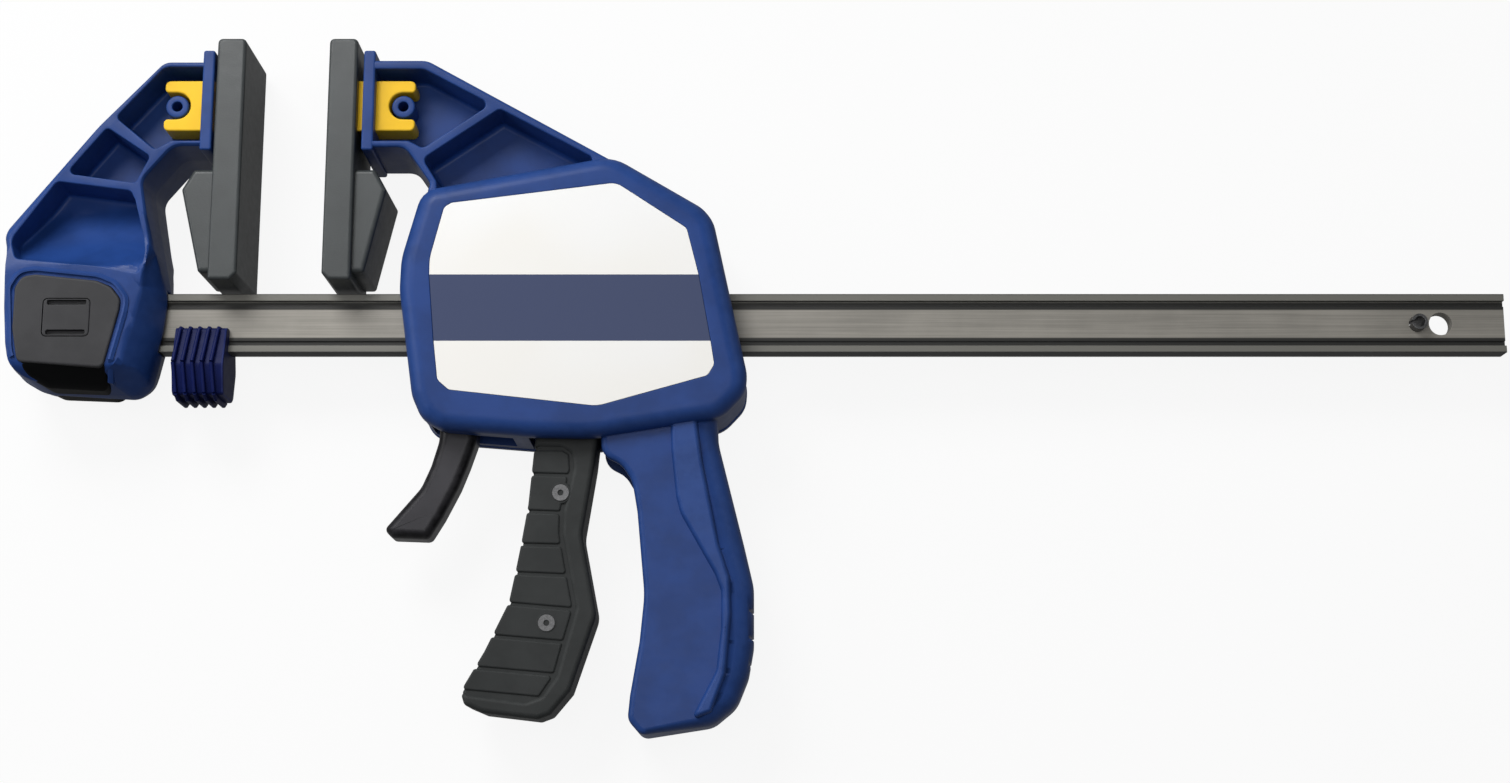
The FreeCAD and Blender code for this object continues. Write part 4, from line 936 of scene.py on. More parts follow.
@dataclass
class JawTip:
    """The tip plate, the pad's swivel boss and the shape of the carrier at one jaw."""

    plate_front: float
    way: int
    half: float = 18.0
    plate_wall: float = 4.4
    plate_low: float = 62.6
    plate_high: float = 101.3
    boss_setback: float = 10.1
    boss_y: float = 81.0
    boss_radius: float = 4.3
    boss_bore: float = 1.9
    boss_half: float = 13.0
    web_half: float = 2.0
    plate_proud: float = 0.2

    @property
    def back(self) -> float:
        """The plate's back."""
        return self.plate_front + self.way * self.plate_wall

    @property
    def boss_x(self) -> float:
        """The swivel's place."""
        return self.back + self.way * self.boss_setback

    def add_to(self, shell: Shell) -> None:
        """Add the plate and the boss to a jaw.

        Args:
            shell: the jaw's mesh.
        """
        left, right = sorted((self.plate_front, self.back))
        wide = self.half + self.plate_proud
        plate = Outline.box(left, right, self.plate_low, self.plate_high, 0.9, 3)
        shell.slab(plate, -wide, wide, Round(0.8, 0.8, 3))
        rim = Round(0.7, 0.7, 3)
        boss = Outline.circle(self.boss_x, self.boss_y, self.boss_radius)
        hole = Outline.circle(self.boss_x, self.boss_y, self.boss_bore, 24)
        for _, side in SIDES:
            bore = Pocket(hole, self.web_half, Round(0.45, 0.45, 3), 0.2, 0.0, (side,))
            shell.layer(boss, self.web_half - 1, self.boss_half, side, rim, rim, [bore])


@dataclass
class FixedJaw:
    """The fixed jaw's moulding: arm, pockets, hub and the lip round the boot."""

    tip: JawTip = field(default_factory=lambda: JawTip(-11.6, -1))
    arm_half: float = 18.0
    arm_wall: float = 16.6
    hub_swell: float = 3.0
    hub_wall: float = 5.0
    hub_top: float = 30.0
    hub_full: float = 15.0
    ramp_top: float = 43.0
    ramp_end: float = 15.5
    parting: float = 0.5
    under_boot: float = 1.3
    ramp_drop: float = 0.3
    ramp_slant: float = 0.12
    ramp_power: float = 1.25
    middle: float = -60.0
    lip_ends: Point = (-21.5, -25.6)
    edge: Round = Round(0.9, 1.2, 6, 0.7)
    pocket_lip: Round = Round(0.5, 0.6, 3)
    passage_half: float = 4.2
    lip_sink: float = 0.05

    SILHOUETTE = (
        (-12.2, 63.9), (-12.2, 97.5), (-30.8, 97.5), (-54.3, 72.2), (-86.3, 31.4), (-86.3, 14.0),
        (-86.2, 2.0), (-85.6, -12.0), (-82.4, -20.5), (-72.5, -26.2), (-38.4, -28.4), (-33.0, -24.4),
        (-28.6, -4.0), (-27.4, 9.0), (-30.6, 24.0), (-33.9, 38.6), (-36.1, 51.0), (-25.4, 63.9),
    )
    CORNER_RADII = {0: 0.4, 1: 0.4, 2: 6, 3: 60, 4: 8, 5: 40, 6: 40, 7: 16, 8: 12, 9: 14, 10: 7, 11: 8,
                    12: 14, 13: 24, 14: 40, 15: 30, 16: 6, 17: 7}
    HUB_FACE = {4: (-84.2, 30.0), 5: (-83.9, 13.5), 6: (-83.4, 2.0), 7: (-82.2, -11.4), 8: (-80.6, -19.6),
                9: (-73.4, -24.6), 10: (-47.0, -22.4), 11: (-41.5, -18.5), 12: (-37.0, -1.0),
                13: (-34.7, 10.0), 14: (-31.9, 23.0), 15: (-35.3, 38.4)}
    TIP_POCKET = ((-14.8, 94.9), (-30.2, 94.9), (-47.5, 75.2), (-32.4, 62.7), (-26.6, 66.2), (-14.8, 66.2))
    MIDDLE_POCKET = ((-50.4, 71.3), (-64.6, 53.6), (-38.9, 49.9), (-34.0, 60.2))
    LOWER_POCKET = ((-67.8, 50.5), (-83.5, 28.2), (-80.8, 20.6), (-64.5, 19.0), (-49.8, 17.6), (-39.0, 15.4),
                    (-35.2, 14.8), (-33.6, 21.8), (-34.9, 29.7), (-38.6, 43.3), (-40.4, 46.9))
    SWELL_CUTS = (30, 26, 22, 18, 15, 6, -6, -12, -16, -19, -21, -24, -27)
    PASSAGE = (-84.2, -10.0, -11.3, 11.3)

    def swell(self, y: float) -> float:
        """How much thicker the jaw is than its arm, at a height."""
        thick = self.arm_half + self.hub_swell * ease(y, self.hub_top, self.hub_full)
        return min(thick, Boot.level(y) - self.under_boot) / self.arm_half

    def wall(self, x: float, y: float) -> float:
        """The level where the edge's rounding starts, before the swell."""
        share = ease(y, self.hub_top, self.hub_full)
        return self.arm_wall + (self.hub_wall - self.arm_wall) * share

    def ramp(self, x: float, y: float) -> float:
        """Find the lower pocket's floor, which climbs to the hub.

        Args:
            x: the place along the bar.
            y: the height.

        Returns:
            The floor's level.
        """
        slant = (x - self.middle) * self.ramp_slant
        share = min(max((self.ramp_top - y + slant) / (self.ramp_top - self.ramp_end), 0.0), 1.0)
        web = self.tip.web_half
        return web + (self.arm_half - self.ramp_drop - web) * share ** self.ramp_power

    def build(self) -> None:
        """Make and dress the jaw."""
        shell = Shell()
        outline = Outline.of(self.SILHOUETTE, special=self.CORNER_RADII)
        face = outline.inset(self.edge.width + self.parting).moved(self.HUB_FACE)
        low_outline = Outline.of(self.LOWER_POCKET, 2.4, {1: 5, 3: 20, 4: 20, 6: 2, 7: 20, 8: 20})
        tip_outline = Outline.of(self.TIP_POCKET, 1.8, {0: 0.3, 1: 4.8, 5: 0.3})
        pockets = [
            Pocket(tip_outline, self.tip.web_half, self.pocket_lip),
            Pocket(Outline.of(self.MIDDLE_POCKET, 1.6), self.tip.web_half, self.pocket_lip),
            Pocket(low_outline, self.ramp, self.pocket_lip, rings=14),
        ]
        shell.slab(outline, -self.arm_half, self.arm_half, self.edge, pockets=pockets, inner=face,
                   wall=self.wall, lean=self.parting)
        shell.slice(self.SWELL_CUTS)
        shell.bend(lambda spot: Vector((spot.x, spot.y, spot.z * self.swell(spot.y))))
        jaw = shell.piece("fixed_jaw_moulding")
        button = Button()
        cut(jaw, button.outline.inset(-button.well_gap), button.well_floor, CLEAR, NICK)
        cut(jaw, Outline.box(*self.PASSAGE), -self.passage_half, self.passage_half, FINE_NICK)
        dress(jaw, Slot.blue_plastic, "bar_body", "fixed_jaw")
        trim = Shell()
        self.tip.add_to(trim)
        for _, side in SIDES:
            self._lip(trim, side)
        dress(trim.piece("fixed_jaw_trim"), Slot.blue_plastic, "bar_body", "fixed_jaw")

    def _lip(self, shell: Shell, side: int) -> None:
        """Add the thin raised lip round the boot's face.

        Args:
            shell: the mesh that it joins.
            side: 1 in front, -1 behind.
        """
        inner, crest, outer = (Boot.OUTLINE.inset(distance).loop() for distance in (-0.15, -0.85, -1.9))
        rows = [(inner, 3.0), (inner, 0.5), (inner, 0.15), (crest, 0.0), (outer, 0.75), (outer, 3.0)]
        left, right = self.lip_ends
        kept = [i for i, spot in enumerate(outer) if spot.y > (left if spot.x < self.middle else right)]
        first = next(i for i in kept if (i - 1) % len(outer) not in kept)
        sections = []
        for i in ((first + k) % len(outer) for k in range(len(kept))):
            spots = [(loop[i].x, loop[i].y, side * (Boot.level(loop[i].y) - self.lip_sink - drop))
                     for loop, drop in rows]
            sections.append(shell.ring(spots, 0.5))
        shell.skin(sections)
        shell.cap(sections[0])
        shell.cap(sections[-1])


@dataclass
class Boot:
    """The soft boot round the hub, whose underside slopes away."""

    PANEL = Outline.of(
        ((-79.7, 9.2), (-77.4, 13.4), (-72.5, 14.2), (-50.0, 11.8), (-44.8, 9.4), (-41.0, 4.8), (-41.5, 0.4),
         (-46.2, -20.6), (-77.4, -18.4), (-79.8, -6.0)),
        3.0, {1: 4, 2: 6, 3: 8, 4: 5, 5: 4, 6: 12, 7: 2.5, 8: 2.5, 9: 12})
    OUTLINE = Outline.of(
        ((-81.2, 9.4), (-78.2, 14.6), (-72.6, 15.4), (-49.8, 13.0), (-44.0, 10.6), (-39.8, 5.2), (-40.3, 0.4),
         (-44.4, -17.2), (-46.4, -27.3), (-68.5, -26.2), (-75.4, -22.8), (-79.2, -14.2)),
        4.0, {1: 5, 2: 7, 3: 9, 4: 6, 5: 5, 6: 14, 7: 12, 8: 3, 9: 6, 10: 6, 11: 12})
    FOLD_CUTS = (-18.0, -18.6, -19.3, -20.0, -20.6, -24, -27)
    fold: float = -19.3
    fold_reach: float = 1.2
    toe: float = 10.0
    foot: float = -29.0
    half: float = 22.0
    sink: float = 1.0
    panel_depth: float = 2.6

    @staticmethod
    def level(y: float) -> float:
        """The boot's surface at a height."""
        if y >= Boot.fold:
            return Boot.half
        return Boot.half - (Boot.half - Boot.toe) * (Boot.fold - y) / (Boot.fold - Boot.foot)

    def build(self) -> None:
        """Make and dress the boot and the panels on its faces."""
        shell = Shell()
        shell.slab(self.OUTLINE, -self.half + self.sink, self.half - self.sink, Round(1.9, 2.6, 5))
        shell.slice(self.FOLD_CUTS)
        shell.bend(lambda spot: Vector((spot.x, spot.y, spot.z * self._smooth_level(spot.y) / self.half)))
        boot = shell.piece("hub_boot_moulding")
        self._open(boot)
        dress(boot, Slot.boot_rubber, "bar_body", "hub_boot")
        for name, side in SIDES:
            cover = Shell()
            deep, crown = self.half - self.panel_depth, Round(0.9, 0.8, 4)
            cover.layer(self.PANEL, deep, self.half, side, crown, FINE_NICK)
            panel = cover.piece("hub_panel_" + name)
            if side > 0:
                self._open(panel)
            dress(panel, Slot.button_plastic, "bar_body", "hub_boot")

    @staticmethod
    def _open(piece: bpy.types.Object) -> None:
        """Cut the button's opening."""
        button = Button()
        cut(piece, button.outline.inset(-button.boot_gap), button.well_floor, CLEAR, NICK)

    def _smooth_level(self, y: float) -> float:
        """The surface with a soft fold."""
        ends = self.level(y - self.fold_reach) + self.level(y + self.fold_reach)
        return (ends + 2 * self.level(y)) / 4


@dataclass
class Button:
    """The release button in the boot, with a finger slot above and below its panel."""

    left: float = -68.9
    right: float = -51.9
    low: float = -9.0
    high: float = 5.0
    top: float = 22.0
    thick: float = 5.0
    slot_height: float = 1.9
    slot_inset: float = 0.45
    slot_reach: float = 1.4
    slot_depth: float = 1.9
    well_floor: float = 10.4
    well_gap: float = 0.35
    boot_gap: float = 0.22

    @property
    def outline(self) -> Outline:
        """The button's outline."""
        return Outline.box(self.left, self.right, self.low, self.high, 1.6, 4)

    def build(self) -> None:
        """Make and dress the button and its pin."""
        shell = Shell()
        slots = []
        left, right = self.left + self.slot_reach, self.right - self.slot_reach
        for edge, way in ((self.low, 1), (self.high, -1)):
            a, b = sorted((edge + way * self.slot_inset, edge + way * (self.slot_inset + self.slot_height)))
            outline = Outline.box(left, right, a, b, 0.6, 3)
            slots.append(Pocket(outline, self.top - self.slot_depth, Round(0.25, 0.3, 2), 0.2, 0.1, (1,)))
        shell.slab(self.outline, self.top - self.thick, self.top, Round(0.5, 0.5, 3), pockets=slots)
        dress(shell.piece("release_button_cap"), Slot.button_plastic, "release_button", "release_button")
        pin = softened("button_lock_pin", 0.2, "lock_pin")
        dress(pin, Slot.pin_steel, "release_button", "button_lock_pin")


@dataclass
class Pad:
    """A clamping pad with its gusset, and the yellow carrier behind it."""

    name: str
    tip: JawTip
    face: float
    body: str
    wall: float = 10.7
    half: float = 19.0
    low: float = 13.0
    high: float = 105.8
    toe: float = 2.6
    gusset_half: float = 16.0
    gusset_depth: float = 11.7
    gusset_high: float = 55.8
    gusset_shoulder: float = 48.1
    gusset_low: float = 16.5
    gusset_slope: float = 4.3
    carrier_inner: float = 2.5
    carrier_half: float = 14.0
    carrier_height: float = 19.5
    carrier_bore: float = 5.2
    carrier_tail: float = 4.6
    carrier_seat: float = 3.0
    flange_gap: float = 0.7

    def build(self) -> None:
        """Make and dress the pad and its carrier."""
        dress(self._pad().piece(self.name + "_rubber"), Slot.pad_rubber, self.body, self.name)
        clips = self._carrier().piece(self.name + "_clips")
        dress(clips, Slot.yellow_plastic, self.body, self.name + "_carrier")

    def _x(self, depth: float) -> float:
        """The place a depth behind the face."""
        return self.face + self.tip.way * depth

    def _pad(self) -> Shell:
        """Build the pad's block and gusset.

        Returns:
            Their mesh.
        """
        shell = Shell()
        front, back, middle = self._x(0), self._x(self.wall), self._x(self.wall / 2)
        block = [(self._x(self.toe), self.low), (back, self.low), (back, self.high), (front, self.high),
                 (front, self.low + self.toe)]
        shell.slab(Outline.of(block, 1.1, {2: 1.8, 3: 1.8}, 4), -self.half, self.half, Round(1.3, 1.3, 4))
        deep = self.wall + self.gusset_depth
        gusset = [(middle, self.gusset_high), (self._x(deep - self.gusset_slope), self.gusset_high),
                  (self._x(deep), self.gusset_shoulder),
                  (self._x(self.wall + self.gusset_slope), self.gusset_low), (middle, self.gusset_low)]
        shell.slab(Outline.of(gusset, 1.4, steps=4), -self.gusset_half, self.gusset_half, Round(1.8, 1.8, 4))
        return shell

    def _carrier(self) -> Shell:
        """Build the carrier's flange and its two C-shaped clips.

        Returns:
            Their mesh.
        """
        shell = Shell()
        way, centre, middle = self.tip.way, self.tip.boss_x, self.tip.boss_y
        seat = self._x(self.wall - self.carrier_seat)
        low, high = middle - self.carrier_height / 2, middle + self.carrier_height / 2
        bore, end = self.carrier_bore, centre + way * self.carrier_tail
        arc = [(centre - way * bore * math.sin(t), middle - bore * math.cos(t))
               for t in (math.pi * k / 14 for k in range(15))]
        corners = [(seat, low), (end, low), (end, middle - bore)] + arc
        corners += [(end, middle + bore), (end, high), (seat, high)]
        last = len(corners)
        radii = {0: 0.5, 1: 2.0, 2: 1.5, last - 3: 1.5, last - 2: 2.0, last - 1: 0.5}
        clip, rim = Outline.of(corners, 0.0, radii, 4), Round(0.7, 0.7, 3)
        for _, side in SIDES:
            shell.layer(clip, self.carrier_inner, self.carrier_half, side, rim, rim)
        left, right = sorted((seat, self.tip.plate_front - way * self.flange_gap))
        wide = self.carrier_half - 0.1
        shell.slab(Outline.box(left, right, low, high, 0.5, 2), -wide, wide, Round(0.5, 0.5, 2))
        return shell


@dataclass
class Housing:
    """The two side covers, their labels and the wells for the screws."""

    face: float = 22.0
    seam: float = 13.1
    label_sink: float = 0.6
    label_lift: float = 0.05
    label_gap: float = 0.12
    shoulder: Round = Round(6.2, 6.4, 7)
    rim: Round = Round(0.5, 0.5, 2)
    screw_well: float = 3.5
    screw_depth: float = 2.9
    sharp: float = 50.0

    COVER = Outline.of(
        ((66.9, 47.2), (137.1, 60.4), (170.6, 40.5), (174.6, 35.5), (187.0, -22.0), (186.4, -29.0),
         (178.0, -38.0), (130.9, -45.5), (107.0, -45.0), (76.0, -42.5), (69.0, -38.5), (65.2, -30.0),
         (59.6, 9.1), (59.9, 21.2)),
        12.0, {0: 9, 1: 16, 2: 14, 3: 14, 4: 14, 5: 10, 6: 12, 7: 60, 8: 60, 9: 10, 10: 9, 11: 16, 12: 30,
               13: 30})
    LABEL = Outline.of(
        ((75.8, 39.5), (71.0, 20.2), (71.0, 14.0), (73.3, -11.1), (75.0, -25.2), (79.2, -28.9),
         (132.9, -34.9), (172.8, -23.6), (175.2, -19.5), (173.9, -11.1), (169.3, 14.4), (164.9, 31.6),
         (138.9, 48.9), (78.5, 41.2)),
        3.0, {1: 20, 2: 20, 3: 40, 6: 14, 9: 30, 10: 60, 12: 7})

    def build(self) -> None:
        """Make and dress the covers and labels, and cut the wells for the screws."""
        recess = self.face - self.label_sink
        for name, side in SIDES:
            shell = Shell()
            seat = Pocket(self.LABEL, recess, Round(0.35, 0.3, 3), 0.05, 0.02, (side,))
            shell.layer(self.COVER, self.seam, self.face, side, self.shoulder, self.rim, [seat])
            cover = shell.piece("cover_shell_" + name, self.sharp)
            if side < 0:
                for x, y in Screws.SPOTS:
                    well = Outline.circle(x, y, self.screw_well, 32)
                    cut(cover, well, -CLEAR, self.screw_depth - self.face, NICK, self.sharp)
            dress(cover, Slot.blue_plastic, "moving_jaw", "side_cover_" + name)
            film, crown = Shell(), Round(0.12, 0.12, 2)
            sheet = self.LABEL.inset(self.label_gap)
            film.layer(sheet, recess + self.label_lift, self.face, side, crown, crown)
            dress(film.piece("label_film_" + name), Slot.label_white, "moving_jaw", "label_" + name)


class Repeats(Graph):
    """A geometry tree with named inputs, run on one object."""

    def __init__(self, name: str, sizes: dict[str, float]) -> None:
        """Start a tree.

        Args:
            name: the tree's and the object's name.
            sizes: the value of each named input, in millimetres or counts.
        """
        tree = bpy.data.node_groups.new(name, "GeometryNodeTree")
        super().__init__(tree)
        self.name = name
        self.sizes = sizes
        tree.interface.new_socket("Geometry", in_out="INPUT", socket_type="NodeSocketGeometry")
        self.keys = {}
        for label in sizes:
            socket = tree.interface.new_socket(label, in_out="INPUT", socket_type="NodeSocketFloat")
            self.keys[label] = socket.identifier
        tree.interface.new_socket("Geometry", in_out="OUTPUT", socket_type="NodeSocketGeometry")
        self.inputs = tree.nodes.new("NodeGroupInput")

    def size(self, label: str) -> Wire:
        """A named input."""
        return Wire(self, self.inputs.outputs[label])

    def along(self, x: object = 0.0, y: object = 0.0, z: object = 0.0) -> Wire:
        """A vector from three values."""
        return self.node("ShaderNodeCombineXYZ", None, {0: x, 1: y, 2: z})

    def rod(self, sides: int, radius: object, depth: object) -> Wire:
        """A closed prism about Z."""
        sockets = {"Vertices": sides, "Radius": radius, "Depth": depth}
        return self.node("GeometryNodeMeshCylinder", {"fill_type": "NGON"}, sockets, "Mesh")

    def raised(self, shape: Wire, height: Wire) -> Wire:
        """A shape moved along Z."""
        sockets = {"Geometry": shape, "Translation": self.along(z=height)}
        return self.node("GeometryNodeTransform", None, sockets)

    def drilled(self, body: Wire, tool: Wire) -> Wire:
        """A shape less another."""
        sockets = {"Mesh 1": body, "Mesh 2": tool}
        return self.node("GeometryNodeMeshBoolean", {"operation": "DIFFERENCE"}, sockets, "Mesh")

    def joined(self, parts: Iterable[Wire]) -> Wire:
        """Make several shapes one.

        Args:
            parts: the shapes.

        Returns:
            The one shape.
        """
        node = self.tree.nodes.new("GeometryNodeJoinGeometry")
        for part in parts:
            self.tree.links.new(part.socket, node.inputs[0])
        return Wire(self, node.outputs[0])

    def run(self, shape: Wire, slot: Slot, place_by: Matrix | None = None) -> bpy.types.Object:
        """End the tree with realized, finished geometry and turn it into a piece.

        Args:
            shape: the geometry, in millimetres.
            slot: its finish.
            place_by: a transform of the finished mesh, in millimetres.

        Returns:
            The piece.
        """
        real = self.node("GeometryNodeRealizeInstances", None, {0: shape})
        small = self.node("GeometryNodeTransform", None, {"Geometry": real, "Scale": (MM, MM, MM)})
        done = self.node("GeometryNodeSetMaterial", None, {"Geometry": small, "Material": MATERIALS[slot]})
        self.node("NodeGroupOutput", None, {0: done})
        piece = linked(self.name, bpy.data.meshes.new(self.name))
        work = piece.modifiers.new("repeat", "NODES")
        work.node_group = self.tree
        for label, value in self.sizes.items():
            work[self.keys[label]] = value
        settled(piece)
        if place_by:
            turned = place_by.copy()
            turned.translation *= MM
            piece.data.transform(turned)
        piece.data.shade_smooth()
        piece.data.set_sharp_from_angle(angle=math.radians(EDGE_ANGLE))
        return piece


@dataclass
class Screws:
    """The four screws that hold the rear cover."""

    head: float = 2.9
    height: float = 2.1
    seat: float = -19.3
    socket: float = 1.25
    shank: float = 1.45
    reach: float = 20.0

    SPOTS = ((71.4, 42.5), (165.3, 35.9), (177.4, -28.2), (70.4, -30.9))

    def build(self) -> None:
        """Make and dress the screws."""
        sizes = {"Head": self.head, "Height": self.height, "Socket": self.socket, "Shank": self.shank,
                 "Reach": self.reach}
        tree = Repeats("cover_screw_set", sizes)
        height, reach = tree.size("Height"), tree.size("Reach")
        hollow = tree.raised(tree.rod(6, tree.size("Socket"), height), height * -0.5)
        head = tree.drilled(tree.rod(36, tree.size("Head"), height), hollow)
        shank = tree.raised(tree.rod(24, tree.size("Shank"), reach), reach * 0.5)
        one = tree.joined((shank, head))
        marks = tree.node("GeometryNodeMeshLine", {"mode": "OFFSET"}, {"Count": len(self.SPOTS)})
        number = tree.node("GeometryNodeInputIndex")
        x: object = self.SPOTS[0][0]
        y: object = self.SPOTS[0][1]
        for i in range(1, len(self.SPOTS)):
            chosen = number.above(i - 0.5)
            x = x + chosen * (self.SPOTS[i][0] - self.SPOTS[i - 1][0])
            y = y + chosen * (self.SPOTS[i][1] - self.SPOTS[i - 1][1])
        place = tree.along(x, y, self.seat - self.height / 2)
        spots = tree.node("GeometryNodeSetPosition", None, {"Geometry": marks, "Position": place})
        copies = tree.node("GeometryNodeInstanceOnPoints", None, {"Points": spots, "Instance": one})
        dress(tree.run(copies, Slot.pin_steel), Slot.pin_steel, "moving_jaw", "cover_screws")


@dataclass
class Spring:
    """A coil of round wire."""

    node: str
    body: str
    joint: str
    coil: float
    wire: float
    length: float
    turns: float
    keep: float
    start: tuple[float, float, float]
    along_x: bool
    anchor: tuple[float, float, float]

    def build(self) -> None:
        """Make and dress the spring."""
        sizes = {"Turns": self.turns, "Radius": self.coil / 2, "Wire": self.wire / 2,
                 "Length": self.length - self.wire}
        tree = Repeats(self.node + "_coil", sizes)
        radius = tree.size("Radius")
        line = tree.node("GeometryNodeCurveSpiral", None,
                         {"Resolution": 28, "Rotations": tree.size("Turns"), "Start Radius": radius,
                          "End Radius": radius, "Height": tree.size("Length")})
        ring = tree.node("GeometryNodeCurvePrimitiveCircle", {"mode": "RADIUS"},
                         {"Resolution": 12, "Radius": tree.size("Wire")})
        sockets = {"Curve": line, "Profile Curve": ring, "Fill Caps": True}
        tube = tree.node("GeometryNodeCurveToMesh", None, sockets)
        turn = Matrix.Rotation(math.pi / 2, 4, "Y") if self.along_x else Matrix.Identity(4)
        lift = Matrix.Translation((0, 0, self.wire / 2))
        piece = tree.run(tube, Slot.spring_steel, Matrix.Translation(self.start) @ turn @ lift)
        dress(piece, Slot.spring_steel, self.body, self.node)
        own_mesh(piece)


@dataclass
class JawFrame:
    """The moving jaw's frame: arm, core between the covers, and handle."""

    tip: JawTip = field(default_factory=lambda: JawTip(43.9, 1))
    arm_half: float = 18.0
    core_half: float = 12.9
    handle_half: float = 15.0
    strip_half: float = 17.2
    channel_half: float = 11.3
    slot_low: float = -60.0
    rim: Round = Round(2.4, 2.4, 6)
    strip_edge: Round = Round(1.7, 2.4, 5)
    palm_drop: float = 6.0
    palm: Point = (158.0, 176.0)
    notches: int = 3
    notch_top: float = -106.7
    notch_pitch: float = 9.5
    sharp: float = 45.0

    ARM = Outline.of(
        ((44.6, 97.5), (67.6, 97.5), (137.0, 58.6), (133.0, 50.0), (72.0, 41.0), (68.8, 47.0), (70.0, 49.8),
         (60.2, 63.9), (44.6, 63.9)), 1.0, {0: 0.4, 1: 8, 2: 2, 5: 2, 6: 4, 7: 6, 8: 0.4})
    TIP_POCKET = ((47.2, 94.1), (66.4, 94.1), (91.6, 80.4), (66.8, 63.3), (61.4, 66.2), (47.2, 66.2))
    LOWER_POCKET = ((95.0, 78.6), (66.9, 59.2), (72.2, 50.6), (72.6, 44.8), (128.2, 54.6), (130.2, 59.6))
    # The lever's and the trigger's slots: left, right, top and half width.
    SLOTS = ((71.5, 101.5, -16.4, 8.3), (107.5, 146.2, -31.9, 11.3))
    HANDLE = (
        (134.0, -36.1), (134.0, -51.0), (141.8, -55.0), (145.5, -61.0), (147.4, -72.0), (150.2, -102.1),
        (148.6, -119.0), (145.4, -138.0), (144.6, -146.5), (149.4, -152.0), (175.0, -148.4), (183.4, -141.5),
        (187.6, -131.0), (189.5, -120.0), (189.5, -99.0), (186.0, -84.0), (176.5, -46.0), (176.0, -34.0),
    )
    HANDLE_RADII = {0: 1, 1: 9, 2: 9, 3: 12, 4: 30, 5: 40, 6: 30, 7: 12, 8: 5, 9: 4, 10: 9, 11: 12, 12: 14,
                    13: 16, 14: 22, 15: 40, 16: 30, 17: 1}
    HANDLE_FACE = {10: (170.0, -145.4), 11: (176.4, -138.6), 12: (179.4, -129.0), 13: (180.5, -119.0),
                   14: (180.5, -100.0), 15: (177.0, -86.0), 16: (167.5, -50.0), 17: (167.0, -34.0)}
    STRIP = (
        (159.0, -36.1), (159.5, -49.9), (161.4, -67.0), (163.0, -73.0), (175.5, -95.0), (177.7, -101.0),
        (177.7, -114.0), (176.0, -129.2), (166.9, -147.0), (174.5, -144.0), (179.6, -130.7), (181.5, -109.1),
        (181.0, -96.0), (177.0, -84.0), (171.0, -54.0), (168.5, -36.1),
    )
    CHANNEL = ((120.0, -29.9), (150.0, -29.9), (156.0, -60.0), (158.5, -102.1), (156.5, -122.1),
               (154.0, -137.0), (140.0, -137.0), (120.0, -120.0))
    # A palm notch: places along X, and how far above its top.
    NOTCH = ((195.0, 0.4), (187.4, 0.0), (187.9, -1.2), (195.0, -5.2))

    def build(self) -> None:
        """Make and dress the frame."""
        arm = Shell()
        lip = Round(0.6, 0.7, 3)
        pockets = [
            Pocket(Outline.of(self.TIP_POCKET, 2.2, {0: 0.4, 1: 6, 5: 0.4}), self.tip.web_half, lip),
            Pocket(Outline.of(self.LOWER_POCKET, 2.2), self.tip.web_half, lip, root=2.0),
        ]
        arm.slab(self.ARM, -self.arm_half, self.arm_half, Round(1.2, 1.3, 4), pockets=pockets)
        self.tip.add_to(arm)
        dress(arm.piece("moving_arm_moulding"), Slot.blue_plastic, "moving_jaw", "jaw_frame")
        core = Shell()
        core.slab(Housing.COVER.inset(0.35), -self.core_half, self.core_half, Round(0.6, 0.6, 2))
        body = core.piece("core_moulding")
        for left, right, top, half in self.SLOTS:
            cut(body, Outline.box(left, right, self.slot_low, top), -half, half, FINE_NICK)
        dress(body, Slot.blue_plastic, "moving_jaw", "jaw_frame")
        dress(self._handle(), Slot.blue_plastic, "moving_jaw", "jaw_frame")

    def _wall(self, x: float, y: float) -> float:
        """The level where the rounding of the handle's edge starts, lower at the palm."""
        return self.handle_half - self.rim.drop - self.palm_drop * ease(x, *self.palm)

    def _handle(self) -> bpy.types.Object:
        """Build the handle with its raised strip, trigger channel and palm notches.

        Returns:
            The handle.
        """
        shell = Shell()
        outline = Outline.of(self.HANDLE, special=self.HANDLE_RADII, steps=6)
        face = outline.inset(self.rim.width).moved(self.HANDLE_FACE)
        shell.slab(outline, -self.handle_half, self.handle_half, self.rim, inner=face, wall=self._wall)
        handle = shell.piece("handle_moulding", self.sharp)
        channel = Outline.of(self.CHANNEL, 3.0)
        cut(handle, channel, -self.channel_half, self.channel_half, Round(0.6, 0.6, 2), self.sharp)
        for step in range(self.notches):
            y = self.notch_top - self.notch_pitch * step
            notch = Outline.of([(x, y + rise) for x, rise in self.NOTCH], 0.4, steps=3)
            cut(handle, notch, -CLEAR, CLEAR, NICK, self.sharp)
        strip = Shell()
        strip_outline = Outline.of(self.STRIP, 5.0, {0: 0.5, 15: 0.5, 8: 1.2, 9: 1.5, 4: 10, 3: 12})
        strip.slab(strip_outline, -self.strip_half, self.strip_half, self.strip_edge)
        return carved(handle, strip.piece("strip"), self.sharp, "UNION")


